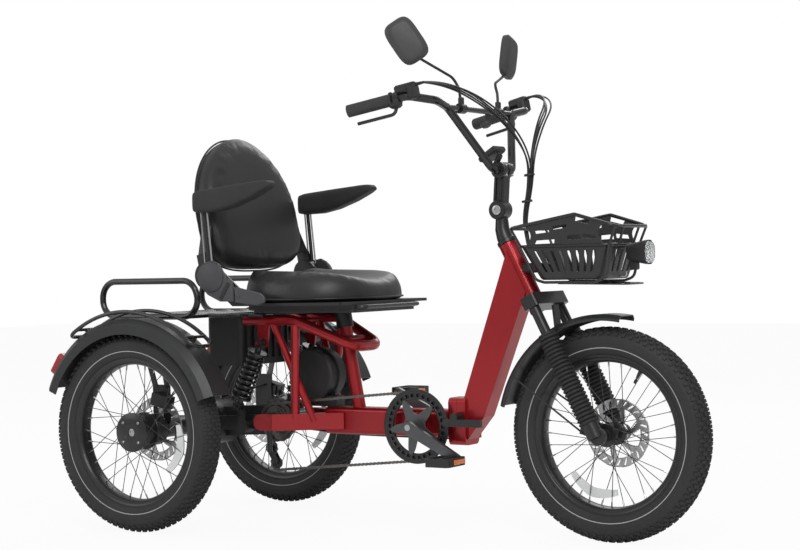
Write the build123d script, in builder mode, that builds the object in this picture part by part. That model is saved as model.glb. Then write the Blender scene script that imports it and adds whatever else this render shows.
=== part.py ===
from build123d import *
import math
import os

os.makedirs("parts", exist_ok=True)

# Electric tricycle with a folding frame and two driven wheels behind.
# Millimetres. +X is forward, +Y is the rider's left, +Z is up, and the ground is Z = 0.
# Stations along the length are measured forward of the rear axle; spot() moves them to the origin,
# which lies on the ground under the middle of the length.

# Driving dimensions
wheelbase = 1290
track = 700
tyre_radius = 280
tyre_width = 76
steer_tilt = 27
gap = 0.3
running_fit = 0.08
overrun = 20
bent_sides = 12
facet_sides = 16
bent_corner = 1.5

# Wheels
bead_radius = 206
rim_inner_radius = 190
rim_width = 52
spoke_count = 36
spoke_size = 2.4
rotor_radius = 90
rotor_width = 2.4
rotor_carrier_radius = 30
axle_diameter = 15
hub_barrel_radius = 44
hub_flange_radius = 52
hub_cap_radius = 54.5
rear_hub_outreach = 31
rear_hub_inreach = 84
hub_flange_width = 6
front_hub_barrel_radius = 17
front_hub_flange_radius = 30
front_hub_half_width = 42

# Fenders and their guards
fender_radius = 317
fender_skirt_radius = 274
fender_half_width = 56
fender_shoulder = 18
fender_wall = 3
fender_rear_angle = 158
fender_front_angle = 20
guard_tube = 11
guard_rise = 14
guard_half_width = 44
guard_front_angle = 52
guard_rear_angle = 122
guard_bend = 30
guard_cross_share = 0.8
guard_foot_share = 1.6
right_angle = 90
guard_end_reach = 40
lamp_angle = 146
tail_lamp_wide = 52
tail_lamp_tall = 66
tail_lamp_deep = 24
tail_lamp_corner = 10

# The tail lamps reach furthest back and the front tyre furthest forward
lamp_slope = math.radians(180 - lamp_angle)
rear_reach = (fender_radius + gap + tail_lamp_deep) * math.cos(lamp_slope) + tail_lamp_tall / 2 * math.sin(lamp_slope)
origin_forward = (wheelbase + tyre_radius - rear_reach) / 2
half_track = track / 2
axle_height = tyre_radius

# Main frame
pivot_forward = 259
pivot_height = 294
arm_left = 116
arm_width = 26
arm_height = 46
arm_knee_forward = 302
beam_rear_forward = 415
beam_height = 296
beam_deep = 76
beam_wide = 60
beam_corner = 14
beam_rear_left = 24
hinge_forward = 850
hinge_gap = 0.6
hinge_plate = 26
hinge_wide = 74
hinge_bottom = 240
hinge_top = 368
hinge_pin_diameter = 12
hinge_pin_left = 41
hinge_knuckle_diameter = 24
hinge_knuckles = 4
hinge_knuckle_gap = 0.4
hinge_pin_end = 4
lever_rear = 21
lever_front = 95
lever_height = 304
lever_thick = 12
lever_tall = 20
lever_stand = 28
seat_tube_diameter = 36
seat_tube_foot_forward = 519
seat_tube_head_forward = 462
seat_tube_head_height = 600
post_tube_diameter = 25
post_foot_forward = 353
post_head_forward = 379
upper_tube_diameter = 30
upper_tube_rear_forward = 206
upper_tube_height = 582
upper_tube_bend_forward = 372
upper_tube_front_forward = 542
upper_tube_front_height = 506
upper_tube_front_left = 62
upper_tube_bend = 52
seat_link_forward = 489
seat_link_left = 66
seat_link_height = 522
brace_diameter = 22
brace_head_forward = 300
brace_foot_forward = 404
brace_foot_left = 68
shock_tab_forward = 270
shock_tab_height = 518
shock_tab_thick = 8
shock_tab_wide = 44
pedal_axle_forward = 733
pedal_axle_height = 290
bracket_shell_diameter = 46
bracket_shell_width = 74

# Swing arm and drive
swing_arm_left = 84
swing_arm_wide = 24
swing_arm_height = 40
axle_tube_diameter = 54
axle_tube_reach = 246
differential_radius = 66
differential_width = 96
drive_case_wide = 44
drive_case_height = 84
pivot_bolt_diameter = 16
shock_foot_forward = 187
shock_foot_height = 339
shock_left = 132
shock_eye_diameter = 26
shock_eye_width = 22
shock_bolt_diameter = 9
spring_radius = 27
spring_wire = 8
spring_turns = 9
damper_radius = 15
spring_seat_radius = 28
spring_seat_width = 6

# Chain drive
chain_left = -52
chain_width = 7
chain_deep = 8
sprocket_radius = 47
cassette_width = 30
cassette_radii_share = (1.36, 1.2, 1.0, 0.8, 0.68)
driven_cog = 2
cog_thick = 2.4
cog_tooth = 2.5
cog_tooth_pitch = 3.6
jockey_radius = 20
lower_jockey_forward = 262
lower_jockey_height = 172
upper_jockey_forward = 238
upper_jockey_height = 214
jockey_width = 5
jockey_pin_diameter = 6
cage_plate = 2.5
knuckle_diameter = 16
chain_ring_radius = 94
chain_ring_width = 3
guard_ring_radius = 102
guard_ring_width = 3
guard_ring_hole = 74
spider_thick = 5
spider_wide = 18
spider_lap = 6
crank_length = 170
crank_width = 24
crank_thick = 15
crank_left = 96
crank_angle = 28
spindle_diameter = 20
pedal_length = 96
pedal_width = 74
pedal_thick = 22
pedal_pin_diameter = 10
pedal_gap = 6
pedal_rib = 9

# Rear brakes
brake_plate = 6
brake_plate_half = 30
caliper_foot = 8
caliper_angle = 76
rotor_clearance = 1.2
adapter_left = 61
adapter_tall = 14
fender_stay_wide = 16
front_caliper_angle = 166
caliper_length = 58
caliper_height = 34
caliper_width = 34

# Rack, battery box and controller case
rack_tube = 18
rack_left = 230
rack_top = 707
rack_deck = 598
rack_rear_forward = -232
rack_front_forward = 144
rack_corner = 48
rack_stay_forward = 273
rack_slope = 34
runner_left = 150
runner_lap = 24
strap_forward = 232
strap_wide = 30
strap_thick = 4
deck_tube = 12
deck_slats = 5
battery_rear_forward = 66
battery_front_forward = 194
battery_left = 118
battery_bottom = 452
battery_corner = 18
battery_ribs = 7
battery_rib = 6
battery_rib_pitch = 32
case_forward = 371
case_height = 424
case_radius = 74
case_left = 40
case_rim = 5
case_foot_ahead = 24
case_foot_length = 106
case_foot_height = 30

# Seat
seat_base_rear_forward = 262
seat_base_front_forward = 606
seat_base_left = 160
seat_base_height = 607
seat_base_thick = 8
seat_base_corner = 16
seat_collar_length = 44
seat_collar_wall = 6
pad_forward = 330
rail_left = 145
rail_height = 14
rail_width = 24
rail_rear_forward = 250
rail_front_forward = 606
pan_thick = 8
cushion_rear_forward = 232
cushion_front_forward = 642
cushion_left = 226
cushion_thick = 92
cushion_corner = 34
adjuster_diameter = 12
adjuster_reach = 22

# Backrest
recline_forward = 171
recline_height = 712
recline_left = 236
recline_radius = 38
recline_thick = 16
recline_bracket = 6
recline_pin = 12
arm_flat = 6
arm_grip_share = 0.3
back_ahead = 4
armrest_post_forward = 182
back_lean = 12
back_left = 198
back_thick = 84
back_foot = 34
back_length = 372
back_corner = 90
post_flat_width = 18
post_flat_thick = 6
armrest_left = 253
armrest_half_width = 27
armrest_thick = 46
armrest_length = 262
armrest_height = 950
armrest_rear_forward = 150
armrest_rise = 9

# Front frame and head tube
down_tube_wide = 56
down_tube_deep_foot = 92
down_tube_deep_head = 74
down_tube_foot_forward = 893
down_tube_foot_height = 320
down_tube_front_forward = 930
down_tube_front_height = 318
head_collar = 22
head_tube_length = 165
head_tube_diameter = 50
head_bore = 34
fork_length = 412
fork_offset = 33

# Fork
stanchion_diameter = 28
stanchion_left = 72
stanchion_offset = 26
crown_height = 34
crown_depth = 46
crown_boss_radius = 25
crown_drop = 2
boot_radius = 27
boot_ribs = 14
boot_groove = 4
boot_foot = 40
boot_head = 294
lower_leg_diameter = 44
dropout_thick = 14
steerer_diameter = 30
steerer_stand = 30
crown_lip = 10

# Front fender
front_fender_radius = 313
front_fender_skirt_radius = 296
front_fender_half_width = 46
front_fender_shoulder = 10
front_fender_front_angle = 80
front_fender_rear_angle = 167
stay_diameter = 5
stay_angle = 150
fender_bracket_angle = 118
fender_bracket_wide = 30
fender_bracket_thick = 6

# Stem, bar and fittings
stem_pivot_up = 256
stem_pivot_ahead = 24
stem_pivot_radius = 26
stem_width = 40
stem_step = 6
stem_rail = 12
clamp_forward = 987
clamp_height = 977
bar_diameter = 22
clamp_bore = 31.8
clamp_diameter = 46
clamp_width = 50
rise_foot_left = 52
rise_head_left = 172
rise_head_forward = 922
bar_head_height = 1140
bar_bend_left = 240
bar_bend_forward = 931
bar_bend_height = 1153
grip_inner_left = 300
grip_inner_forward = 880
grip_inner_height = 1164
grip_outer_left = 330
grip_outer_forward = 721
grip_outer_height = 1133
grip_diameter = 33
grip_length = 122
grip_lip = 4
lever_clamp = 14
lever_reach = 26
lever_length = 105
lever_blade = 9
bar_bend = 34
mirror_base_left = 100
mirror_left = 256
mirror_forward = 866
mirror_height = 1334
mirror_wide = 122
mirror_tall = 82
mirror_thick = 16
mirror_stem = 8
mirror_clamp = 22
mirror_bend = 60
mirror_corner = 22
display_deep = 46
display_wide = 92
display_tall = 24
display_corner = 8

# Basket and headlamp
basket_bottom_height = 680
basket_rim_height = 842
basket_rear_forward = 1112
basket_front_forward = 1420
basket_left = 165
basket_draft = 34
basket_wire = 9
basket_bar = 5
basket_bar_pitch = 34
basket_bracket_wide = 60
basket_bracket_tall = 30
basket_corner = 26
basket_wall = 2.5
slot_margin = 12
slot_pitch = 30
slot_wide = 13
bracket_rise = 8
bracket_start = 14
lamp_height = 756
lamp_radius = 34
lamp_depth = 62
lamp_taper = 8


def spot(forward, left, up):
    """A point from its distance ahead of the rear axle, to the left and above the ground."""
    return Vector(forward - origin_forward, left, up)


def keep(piece, name):
    """Label one finished piece and write it to its own file."""
    piece.part.label = name
    export_step(piece.part, f"parts/{name}.step")


def tube(points, diameter, bend=None):
    """A round tube along straight runs, with the same bend at each corner."""
    with BuildLine() as path:
        if len(points) > 2:
            FilletPolyline(*points, radius=bend)
        else:
            Line(*points)
    tube_along(path.line, diameter, bend is not None)


def tube_along(route, diameter, is_bent=True):
    """A tube along a route; a bent one has a many-sided section that keeps its facets few."""
    with BuildSketch(Plane(route @ 0, z_dir=route % 0)) as section:
        if is_bent:
            RegularPolygon(diameter / 2, bent_sides)
        else:
            Circle(diameter / 2)
    sweep(section.sketch, path=route)


def bar(start, end, wide, tall, up=(0, 0, 1), mode=Mode.ADD):
    """A straight bar of rectangular section, its tall side nearest to the direction up."""
    along = (end - start).normalized()
    side = Vector(*up).cross(along).normalized()
    with BuildSketch(Plane(start, x_dir=side, z_dir=along)) as section:
        Rectangle(wide, tall)
    return extrude(section.sketch, amount=(end - start).length, mode=mode)


def cross_disc(centre, radius, width, mode=Mode.ADD):
    """A disc whose axis runs across the tricycle, centred on a point."""
    face = Plane(centre + Vector(0, width / 2, 0), x_dir=(1, 0, 0), z_dir=(0, -1, 0))
    with BuildSketch(face) as section:
        Circle(radius)
    extrude(section.sketch, amount=width, mode=mode)


def cross_ring(centre, outline, arc=360, start=0):
    """Turn an outline of (left, radius) points about the axis across the tricycle through centre."""
    turn = math.radians(start)
    radial = Vector(math.cos(turn), 0, math.sin(turn))
    with BuildSketch(Plane(centre, x_dir=(0, 1, 0), z_dir=Vector(0, 1, 0).cross(radial))) as section:
        with BuildLine():
            Polyline(*outline, close=True)
        make_face()
    revolve(section.sketch, axis=Axis(centre, (0, -1, 0)), revolution_arc=arc)


def closed_tube(points, diameter, bend):
    """A round tube bent into a closed loop, with the same bend at each corner."""
    with BuildLine() as path:
        FilletPolyline(*points, radius=bend, close=True)
    tube_along(path.line, diameter)


def turned(foot, along, outline):
    """Turn an outline of (radius, distance) points about an axis that runs from foot."""
    side = Vector(0, 1, 0).cross(along).normalized()
    with BuildSketch(Plane(foot, x_dir=side, z_dir=side.cross(along))) as section:
        with BuildLine():
            Polyline(*outline, close=True)
        make_face()
    revolve(section.sketch, axis=Axis(foot, along))


def pleats(foot, along, low_radius, high_radius, pitch, count, bore):
    """A bellows or a coil: one many-sided fold, repeated along its axis, with a round bore."""
    side = Vector(0, 1, 0).cross(along).normalized()
    folds = []
    for fold in range(count):
        rings = []
        for share, radius in ((0, low_radius), (0.5, high_radius), (1, low_radius)):
            with BuildSketch(Plane(foot + along * pitch * (fold + share), x_dir=side, z_dir=along)) as ring:
                RegularPolygon(radius, facet_sides)
            rings.append(ring.sketch)
        folds.append(loft(rings, ruled=True, mode=Mode.PRIVATE))
    add(folds)
    with BuildSketch(Plane(foot - along * overrun, x_dir=side, z_dir=along)) as hole:
        Circle(bore)
    extrude(hole.sketch, amount=pitch * count + 2 * overrun, mode=Mode.SUBTRACT)


def plate(points, thick, left):
    """A flat plate standing along the tricycle, its outline given as spots, centred at left."""
    with BuildSketch(Plane((0, left + thick / 2, 0), x_dir=(1, 0, 0), z_dir=(0, -1, 0))) as section:
        with BuildLine():
            Polyline(*[(p.X, p.Z) for p in points], close=True)
        make_face()
    extrude(section.sketch, amount=thick)


# Steering axis: from the front axle back over the fork offset, then up the fork's length
tilt = math.radians(steer_tilt)
steer_up = Vector(-math.sin(tilt), 0, math.cos(tilt))
steer_ahead = Vector(math.cos(tilt), 0, math.sin(tilt))
front_axle = spot(wheelbase, 0, axle_height)
head_foot = front_axle - steer_ahead * fork_offset + steer_up * fork_length
head_top = head_foot + steer_up * head_tube_length


def on_steering(up, ahead=0, left=0):
    """A point given along and square to the steering axis, from the foot of the head tube."""
    return head_foot + steer_up * up + steer_ahead * ahead + Vector(0, left, 0)


# Wheels: tyre, rim, hub with laced spokes, and brake disc, in a table of the three wheels
# Columns: name, wheel centre, side the brake disc is on, rear hub or front hub
wheels = (
    ("rear_right", spot(0, -half_track, axle_height), 1, True),
    ("rear_left", spot(0, half_track, axle_height), -1, True),
    ("front", front_axle, 1, False),
)

# Tyre section: shares of half the width and of the height above the bead
tyre_width_shares = (0.58, 0.9, 1.0, 0.86, 0.4)
tyre_height_shares = (0, 0.28, 0.55, 0.86, 1.0)


def tyre(centre):
    """A balloon tyre from bead to tread."""
    rise = tyre_radius - bead_radius
    flank = [
        (wide * tyre_width / 2, bead_radius + gap + high * (rise - gap))
        for wide, high in zip(tyre_width_shares, tyre_height_shares)
    ]
    cross_ring(centre, flank + [(-left, radius) for left, radius in reversed(flank)])


def rim(centre):
    """A box-section rim with a shallow bed and sloped flanks."""
    half = rim_width / 2
    well = bead_radius - rim_inner_radius
    outline = [(half, bead_radius), (half, bead_radius - well / 2), (half - well, rim_inner_radius)]
    cross_ring(centre, outline + [(-left, radius) for left, radius in reversed(outline)])


def spokes(centre, flanges, flange_radius):
    """Laced spokes: each leaves its flange at a tangent, and neighbours cross in pairs."""
    per_flange = spoke_count // 2
    reach = rim_inner_radius - gap - spoke_size * 0.15
    laced = []
    root = flange_radius - spoke_size * 2
    for side, flange_left in enumerate(flanges):
        for index in range(per_flange):
            lean = 1 if index % 2 else -1
            at_rim = math.tau * (index + side / 2) / per_flange
            at_hub = at_rim + lean * math.radians(62)
            inset = lean * spoke_size * 0.6
            start = centre + Vector(root * math.cos(at_hub), flange_left + inset, root * math.sin(at_hub))
            end = centre + Vector(reach * math.cos(at_rim), flange_left * 0.1, reach * math.sin(at_rim))
            laced.append(bar(start, end, spoke_size, spoke_size, (0, 1, 0), Mode.PRIVATE))
    add(laced)


def rear_hub(centre, inward):
    """A wide motor hub: round cap outside, two flanges, and a barrel reaching inward."""
    out = -inward * rear_hub_outreach
    inner = inward * rear_hub_inreach
    cap = -inward * (rear_hub_outreach - hub_flange_width * 2)
    flange = inward * (rear_hub_outreach - hub_flange_width)
    outline = [
        (out, axle_diameter / 2 + running_fit),
        (out, hub_cap_radius),
        (cap, hub_cap_radius),
        (cap, hub_barrel_radius),
        (flange, hub_barrel_radius),
        (flange, hub_flange_radius),
        (flange + inward * hub_flange_width, hub_flange_radius),
        (flange + inward * hub_flange_width, hub_barrel_radius),
        (inner, hub_barrel_radius),
        (inner, axle_diameter / 2 + running_fit),
    ]
    cross_ring(centre, outline)
    spokes(centre, (cap + out * 0.1, flange + inward * hub_flange_width / 2), hub_flange_radius)


def front_hub(centre):
    """A slim hub with two flanges."""
    half = front_hub_half_width
    flange = half - hub_flange_width * 2
    outline = [
        (half, axle_diameter / 2 + running_fit),
        (half, front_hub_barrel_radius),
        (flange + hub_flange_width / 2, front_hub_barrel_radius),
        (flange + hub_flange_width / 2, front_hub_flange_radius),
        (flange - hub_flange_width / 2, front_hub_flange_radius),
        (flange - hub_flange_width / 2, front_hub_barrel_radius),
    ]
    cross_ring(centre, outline + [(-left, radius) for left, radius in reversed(outline)])
    spokes(centre, (flange, -flange), front_hub_flange_radius)


def rotor(centre):
    """A brake disc: a scalloped ring on a carrier with six arms."""
    teeth = 12
    inner = rotor_radius * 0.72
    face = Plane(centre + Vector(0, rotor_width / 2, 0), x_dir=(1, 0, 0), z_dir=(0, -1, 0))
    with BuildSketch(face) as section:
        with BuildLine():
            Polyline(*scallop(rotor_radius, rotor_radius * 0.96, teeth), close=True)
        make_face()
        with BuildLine():
            Polyline(*scallop(inner, inner * 0.96, teeth), close=True)
        make_face(mode=Mode.SUBTRACT)
        Circle(rotor_carrier_radius)
        with PolarLocations((inner + rotor_carrier_radius) / 2, 6):
            Rectangle(inner - rotor_carrier_radius + 12 * rotor_width, 4 * rotor_width)
        Circle(axle_diameter / 2 + running_fit, mode=Mode.SUBTRACT)
    extrude(section.sketch, amount=rotor_width)


def scallop(high, low, count):
    """Points that step between two radii."""
    return [
        Vector(r * math.cos(a), r * math.sin(a))
        for i in range(count * 2)
        for r, a in ((high if i % 2 else low, math.pi * i / count),)
    ]


for name, centre, brake_side, is_rear in wheels:
    with BuildPart() as wheel_tyre:
        tyre(centre)
    keep(wheel_tyre, f"tyre_{name}")

    with BuildPart() as wheel_rim:
        rim(centre)
    keep(wheel_rim, f"rim_{name}")

    with BuildPart() as wheel_hub:
        if is_rear:
            rear_hub(centre, brake_side)
        else:
            front_hub(centre)
    keep(wheel_hub, f"hub_{name}")

    rotor_gap = (rear_hub_inreach if is_rear else front_hub_half_width) + rotor_width / 2
    with BuildPart() as wheel_rotor:
        rotor(centre + Vector(0, brake_side * rotor_gap, 0))
    keep(wheel_rotor, f"brake_disc_{name}")

# Swing arm: pivot tube, two arms, axle tubes, differential and drive case
pivot = spot(pivot_forward, 0, pivot_height)
rear_axle = spot(0, 0, axle_height)

with BuildPart() as swing_arm:
    cross_disc(pivot, arm_height / 2, 2 * (arm_left - arm_width / 2 - gap))
    cross_disc(rear_axle, axle_tube_diameter / 2, 2 * axle_tube_reach)
    cross_disc(rear_axle, axle_diameter / 2, 2 * (half_track + rear_hub_outreach - hub_flange_width))
    cross_disc(rear_axle, differential_radius, differential_width)
    for side in (-1, 1):
        out = Vector(0, side * swing_arm_left, 0)
        bar(rear_axle + out, pivot + out, swing_arm_wide, swing_arm_height)
        shock_foot = spot(shock_foot_forward, 0, shock_foot_height)
        lug_left = side * (shock_left - shock_eye_width / 2 - gap - shock_tab_thick / 2)
        lug_foot = spot(shock_foot_forward, side * (swing_arm_left + abs(lug_left)) / 2, axle_height)
        cross_disc(lug_foot, swing_arm_height / 2, abs(lug_left) - swing_arm_left + shock_tab_thick)
        lug_half = Vector(shock_eye_diameter / 2, 0, 0)
        plate(
            [lug_foot - lug_half, lug_foot + lug_half, shock_foot + lug_half, shock_foot - lug_half],
            shock_tab_thick,
            lug_left,
        )
        bolt_centre = Vector(shock_foot.X, side * shock_left, shock_foot.Z)
        bolt_length = shock_eye_width + 2 * (gap + shock_tab_thick)
        cross_disc(bolt_centre, shock_bolt_diameter / 2, bolt_length)
    bar(rear_axle, pivot, drive_case_wide, drive_case_height)
keep(swing_arm, "swing_arm")

# Rear shocks: an eye at each end, a damper body, spring seats and the spring between them
for part_name, is_spring in (("shock_dampers", False), ("shock_springs", True)):
    with BuildPart() as shocks:
        for side in (-1, 1):
            foot = spot(shock_foot_forward, side * shock_left, shock_foot_height)
            head = spot(shock_tab_forward, side * shock_left, shock_tab_height)
            along = (head - foot).normalized()
            length = (head - foot).length
            spring_foot = shock_eye_diameter
            spring_head = length - shock_eye_diameter
            if is_spring:
                spring_start = foot + along * (spring_foot + spring_seat_width + gap)
                pitch = (spring_head - spring_foot - 2 * (spring_seat_width + gap)) / spring_turns
                low_radius = spring_radius - spring_wire / 2
                pleats(spring_start, along, low_radius, spring_radius, pitch, spring_turns, damper_radius + gap)
            else:
                seat = spring_seat_width
                outline = [
                    (0, 0),
                    (damper_radius * 0.6, 0),
                    (damper_radius * 0.6, spring_foot),
                    (spring_seat_radius, spring_foot),
                    (spring_seat_radius, spring_foot + seat),
                    (damper_radius, spring_foot + seat),
                    (damper_radius, spring_head - seat),
                    (spring_seat_radius, spring_head - seat),
                    (spring_seat_radius, spring_head),
                    (damper_radius * 0.6, spring_head),
                    (damper_radius * 0.6, length),
                    (0, length),
                ]
                turned(foot, along, outline)
                for eye in (foot, head):
                    cross_disc(eye, shock_eye_diameter / 2, shock_eye_width)
                    cross_disc(eye, shock_bolt_diameter / 2 + gap, shock_eye_width + overrun, Mode.SUBTRACT)
    keep(shocks, part_name)

# Main frame: beam, arms to the swing arm pivot, seat tube, hairpin tube and the tubes between them
beam_rear = spot(beam_rear_forward, 0, beam_height)
hinge = spot(hinge_forward, 0, beam_height)
seat_foot = spot(seat_tube_foot_forward, 0, beam_height)
seat_head = spot(seat_tube_head_forward, 0, seat_tube_head_height)
pedal_axle = spot(pedal_axle_forward, 0, pedal_axle_height)


def hinge_half(face_forward, direction):
    """One hinge plate, tapered towards its tube, standing off the parting plane."""
    face = spot(face_forward, 0, (hinge_top + hinge_bottom) / 2)
    with BuildSketch(Plane(face, x_dir=(0, 1, 0), z_dir=(direction, 0, 0))) as near:
        RectangleRounded(hinge_wide, hinge_top - hinge_bottom, beam_corner)
    extrude(near.sketch, amount=hinge_plate)


def hinge_knuckle_rings(direction):
    """Every second knuckle round the folding pin, with room cut for the other plate's knuckles."""
    tall = (hinge_top - hinge_bottom - 2 * beam_corner) / hinge_knuckles
    axis_foot = spot(hinge_forward, hinge_pin_left, hinge_bottom + beam_corner)
    radius = hinge_knuckle_diameter / 2
    for index in range(hinge_knuckles):
        foot = axis_foot + Vector(0, 0, tall * index)
        is_own = index % 2 == (0 if direction > 0 else 1)
        inset = hinge_knuckle_gap / 2 if is_own else -hinge_knuckle_gap / 2
        with BuildSketch(Plane(foot + Vector(0, 0, inset))) as ring:
            Circle(radius if is_own else radius + hinge_knuckle_gap)
            if is_own:
                with Locations((direction * radius, 0)):
                    Rectangle(2 * radius, radius * 2)
        extrude(ring.sketch, amount=tall - 2 * inset, mode=Mode.ADD if is_own else Mode.SUBTRACT)


with BuildPart() as main_frame:
    with BuildSketch(Plane(beam_rear, x_dir=(0, 1, 0), z_dir=(1, 0, 0))):
        RectangleRounded(beam_wide, beam_deep, beam_corner)
    extrude(amount=hinge_forward - hinge_gap / 2 - beam_rear_forward)
    hinge_half(hinge_forward - hinge_gap / 2, -1)
    tube([seat_foot, seat_head], seat_tube_diameter)
    cross_disc(pedal_axle, bracket_shell_diameter / 2, bracket_shell_width)
    tube(
        [
            spot(upper_tube_rear_forward, arm_left, upper_tube_height),
            spot(upper_tube_bend_forward, arm_left, upper_tube_height),
            spot(upper_tube_front_forward, upper_tube_front_left, upper_tube_front_height),
            spot(upper_tube_front_forward, -upper_tube_front_left, upper_tube_front_height),
            spot(upper_tube_bend_forward, -arm_left, upper_tube_height),
            spot(upper_tube_rear_forward, -arm_left, upper_tube_height),
        ],
        upper_tube_diameter,
        upper_tube_bend,
    )
    tube([spot(seat_link_forward, -seat_link_left, seat_link_height),
          spot(seat_link_forward, seat_link_left, seat_link_height)], post_tube_diameter)
    for side in (-1, 1):
        arm_rear = spot(pivot_forward, side * arm_left, pivot_height)
        arm_front = spot(beam_rear_forward + beam_wide, side * beam_rear_left, beam_height)
        arm_knee = spot(arm_knee_forward, side * arm_left, pivot_height)
        bar(arm_rear, arm_knee, arm_width, arm_height)
        bar(arm_knee - (arm_front - arm_knee).normalized() * arm_width / 4, arm_front, arm_width, arm_height)
        cross_disc(arm_rear, arm_height / 2, arm_width)
        taper = (post_foot_forward - arm_knee_forward) / (beam_rear_forward + beam_wide - arm_knee_forward)
        post_foot_left = arm_left + (beam_rear_left - arm_left) * taper
        post_foot = spot(post_foot_forward, side * post_foot_left, pivot_height)
        post_head = spot(post_head_forward, side * arm_left, upper_tube_height - post_tube_diameter / 2)
        tube([post_foot, post_head], post_tube_diameter)
        brace_head = spot(brace_head_forward, side * arm_left, upper_tube_height)
        brace_foot = spot(brace_foot_forward, side * brace_foot_left, beam_height)
        tube([brace_head, brace_foot], brace_diameter)
        tab_left = side * (shock_left - shock_eye_width / 2 - gap - shock_tab_thick / 2)
        tab_rear = shock_tab_forward - shock_tab_wide / 2
        tab_front = shock_tab_forward + shock_tab_wide / 2
        tab_low = shock_tab_height - shock_eye_diameter / 2
        plate(
            [
                spot(tab_rear, 0, upper_tube_height),
                spot(tab_front, 0, upper_tube_height),
                spot(tab_front - shock_tab_thick, 0, tab_low),
                spot(tab_rear + shock_tab_thick, 0, tab_low),
            ],
            shock_tab_thick,
            tab_left,
        )
        bolt_centre = spot(shock_tab_forward, side * shock_left, shock_tab_height)
        cross_disc(bolt_centre, shock_bolt_diameter / 2, shock_eye_width + 2 * (gap + shock_tab_thick))
    cross_disc(pedal_axle, spindle_diameter / 2 + running_fit, bracket_shell_width + overrun, Mode.SUBTRACT)
    hinge_knuckle_rings(-1)
    fold_pin_foot = spot(hinge_forward, hinge_pin_left, hinge_bottom + beam_corner - hinge_pin_end)
    fold_pin_length = hinge_top - hinge_bottom - 2 * (beam_corner - hinge_pin_end)
    with BuildSketch(Plane(fold_pin_foot)) as fold_pin:
        Circle(hinge_pin_diameter / 2)
    extrude(fold_pin.sketch, amount=fold_pin_length)
keep(main_frame, "main_frame")

# Cassette on the pivot line, derailleur under it, and the chain as one closed loop
cassette_left = chain_left

with BuildPart() as cassette:
    step = cassette_width / len(cassette_radii_share)
    for index, share in enumerate(cassette_radii_share):
        is_driven = index == driven_cog
        cog_left = cassette_left + (driven_cog - index) * step
        radius = sprocket_radius * share - (chain_deep / 2 + gap if is_driven else 0)
        wide = cog_thick if not is_driven else step
        face = Plane(pivot + Vector(0, cog_left + wide / 2, 0), x_dir=(1, 0, 0), z_dir=(0, -1, 0))
        with BuildSketch(face) as cog:
            with BuildLine():
                Polyline(*scallop(radius, radius - cog_tooth, int(radius / cog_tooth_pitch)), close=True)
            make_face()
        extrude(cog.sketch, amount=wide)
    core = cassette_radii_share[-1] * sprocket_radius - 2 * cog_tooth
    cross_disc(pivot + Vector(0, cassette_left, 0), core, cassette_width)
    cross_disc(pivot + Vector(0, cassette_left, 0), arm_height / 2 + gap, overrun + cassette_width, Mode.SUBTRACT)
keep(cassette, "cassette")

lower_jockey = spot(lower_jockey_forward, chain_left, lower_jockey_height)
upper_jockey = spot(upper_jockey_forward, chain_left, upper_jockey_height)


def belt_runs(circles):
    """Start and end of each straight run of a belt round circles of (centre, radius, side)."""
    runs = []
    for (here, r1, s1), (there, r2, s2) in zip(circles, circles[1:] + circles[:1]):
        run = there - here
        swing = math.asin((s1 * r1 - s2 * r2) / run.length)
        heading = math.atan2(run.Y, run.X) - math.pi / 2 + swing
        normal = Vector(math.cos(heading), math.sin(heading))
        runs.append((here + normal * s1 * r1, there + normal * s2 * r2))
    return runs


def chain_face(half_thick):
    """The area inside the chain's edge: straight runs joined by arcs round each wheel."""
    circles = (
        (Vector(pedal_axle.X, pedal_axle.Z), chain_ring_radius + half_thick, 1),
        (Vector(pivot.X, pivot.Z), sprocket_radius + half_thick, 1),
        (Vector(upper_jockey.X, upper_jockey.Z), jockey_radius - half_thick, -1),
        (Vector(lower_jockey.X, lower_jockey.Z), jockey_radius + half_thick, 1),
    )
    runs = belt_runs(circles)
    face = Plane((0, chain_left + chain_width / 2, 0), x_dir=(1, 0, 0), z_dir=(0, -1, 0))
    with BuildSketch(face) as area:
        with BuildLine():
            for (hub, radius, side), (_, arrive), (leave, end) in zip(circles, runs[-1:] + runs, runs):
                start_angle = math.atan2(arrive.Y - hub.Y, arrive.X - hub.X)
                end_angle = math.atan2(leave.Y - hub.Y, leave.X - hub.X)
                turn = start_angle + side * (side * (end_angle - start_angle) % math.tau) / 2
                middle = hub + Vector(math.cos(turn), math.sin(turn)) * radius
                ThreePointArc(arrive, middle, leave)
                Line(leave, end)
        make_face()
    return area.sketch


with BuildPart() as chain:
    extrude(chain_face(chain_deep / 2), amount=chain_width)
    extrude(chain_face(-chain_deep / 2), amount=chain_width, mode=Mode.SUBTRACT)
keep(chain, "chain")

# Derailleur: two jockey wheels between cage plates, hung from a knuckle beside the cassette
with BuildPart() as derailleur:
    cage_left = chain_width / 2 + cage_plate
    for wheel in (upper_jockey, lower_jockey):
        cross_disc(wheel, jockey_radius - chain_deep / 2 - gap, jockey_width)
        cross_disc(wheel, jockey_pin_diameter / 2, 2 * cage_left + cage_plate)
    for side in (-1, 1):
        cage = Vector(0, side * cage_left, 0)
        bar(upper_jockey + cage, lower_jockey + cage, cage_plate, jockey_radius, (1, 0, 0))
    knuckle = Vector(pivot.X, -swing_arm_left, upper_jockey.Z)
    tube([knuckle, upper_jockey - Vector(0, cage_left, 0)], knuckle_diameter)
    hanger_top = knuckle + Vector(0, 0, pivot_height - arm_height / 2 - gap - upper_jockey.Z)
    tube([knuckle - Vector(0, 0, knuckle_diameter / 2), hanger_top], knuckle_diameter)
keep(derailleur, "derailleur")

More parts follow.
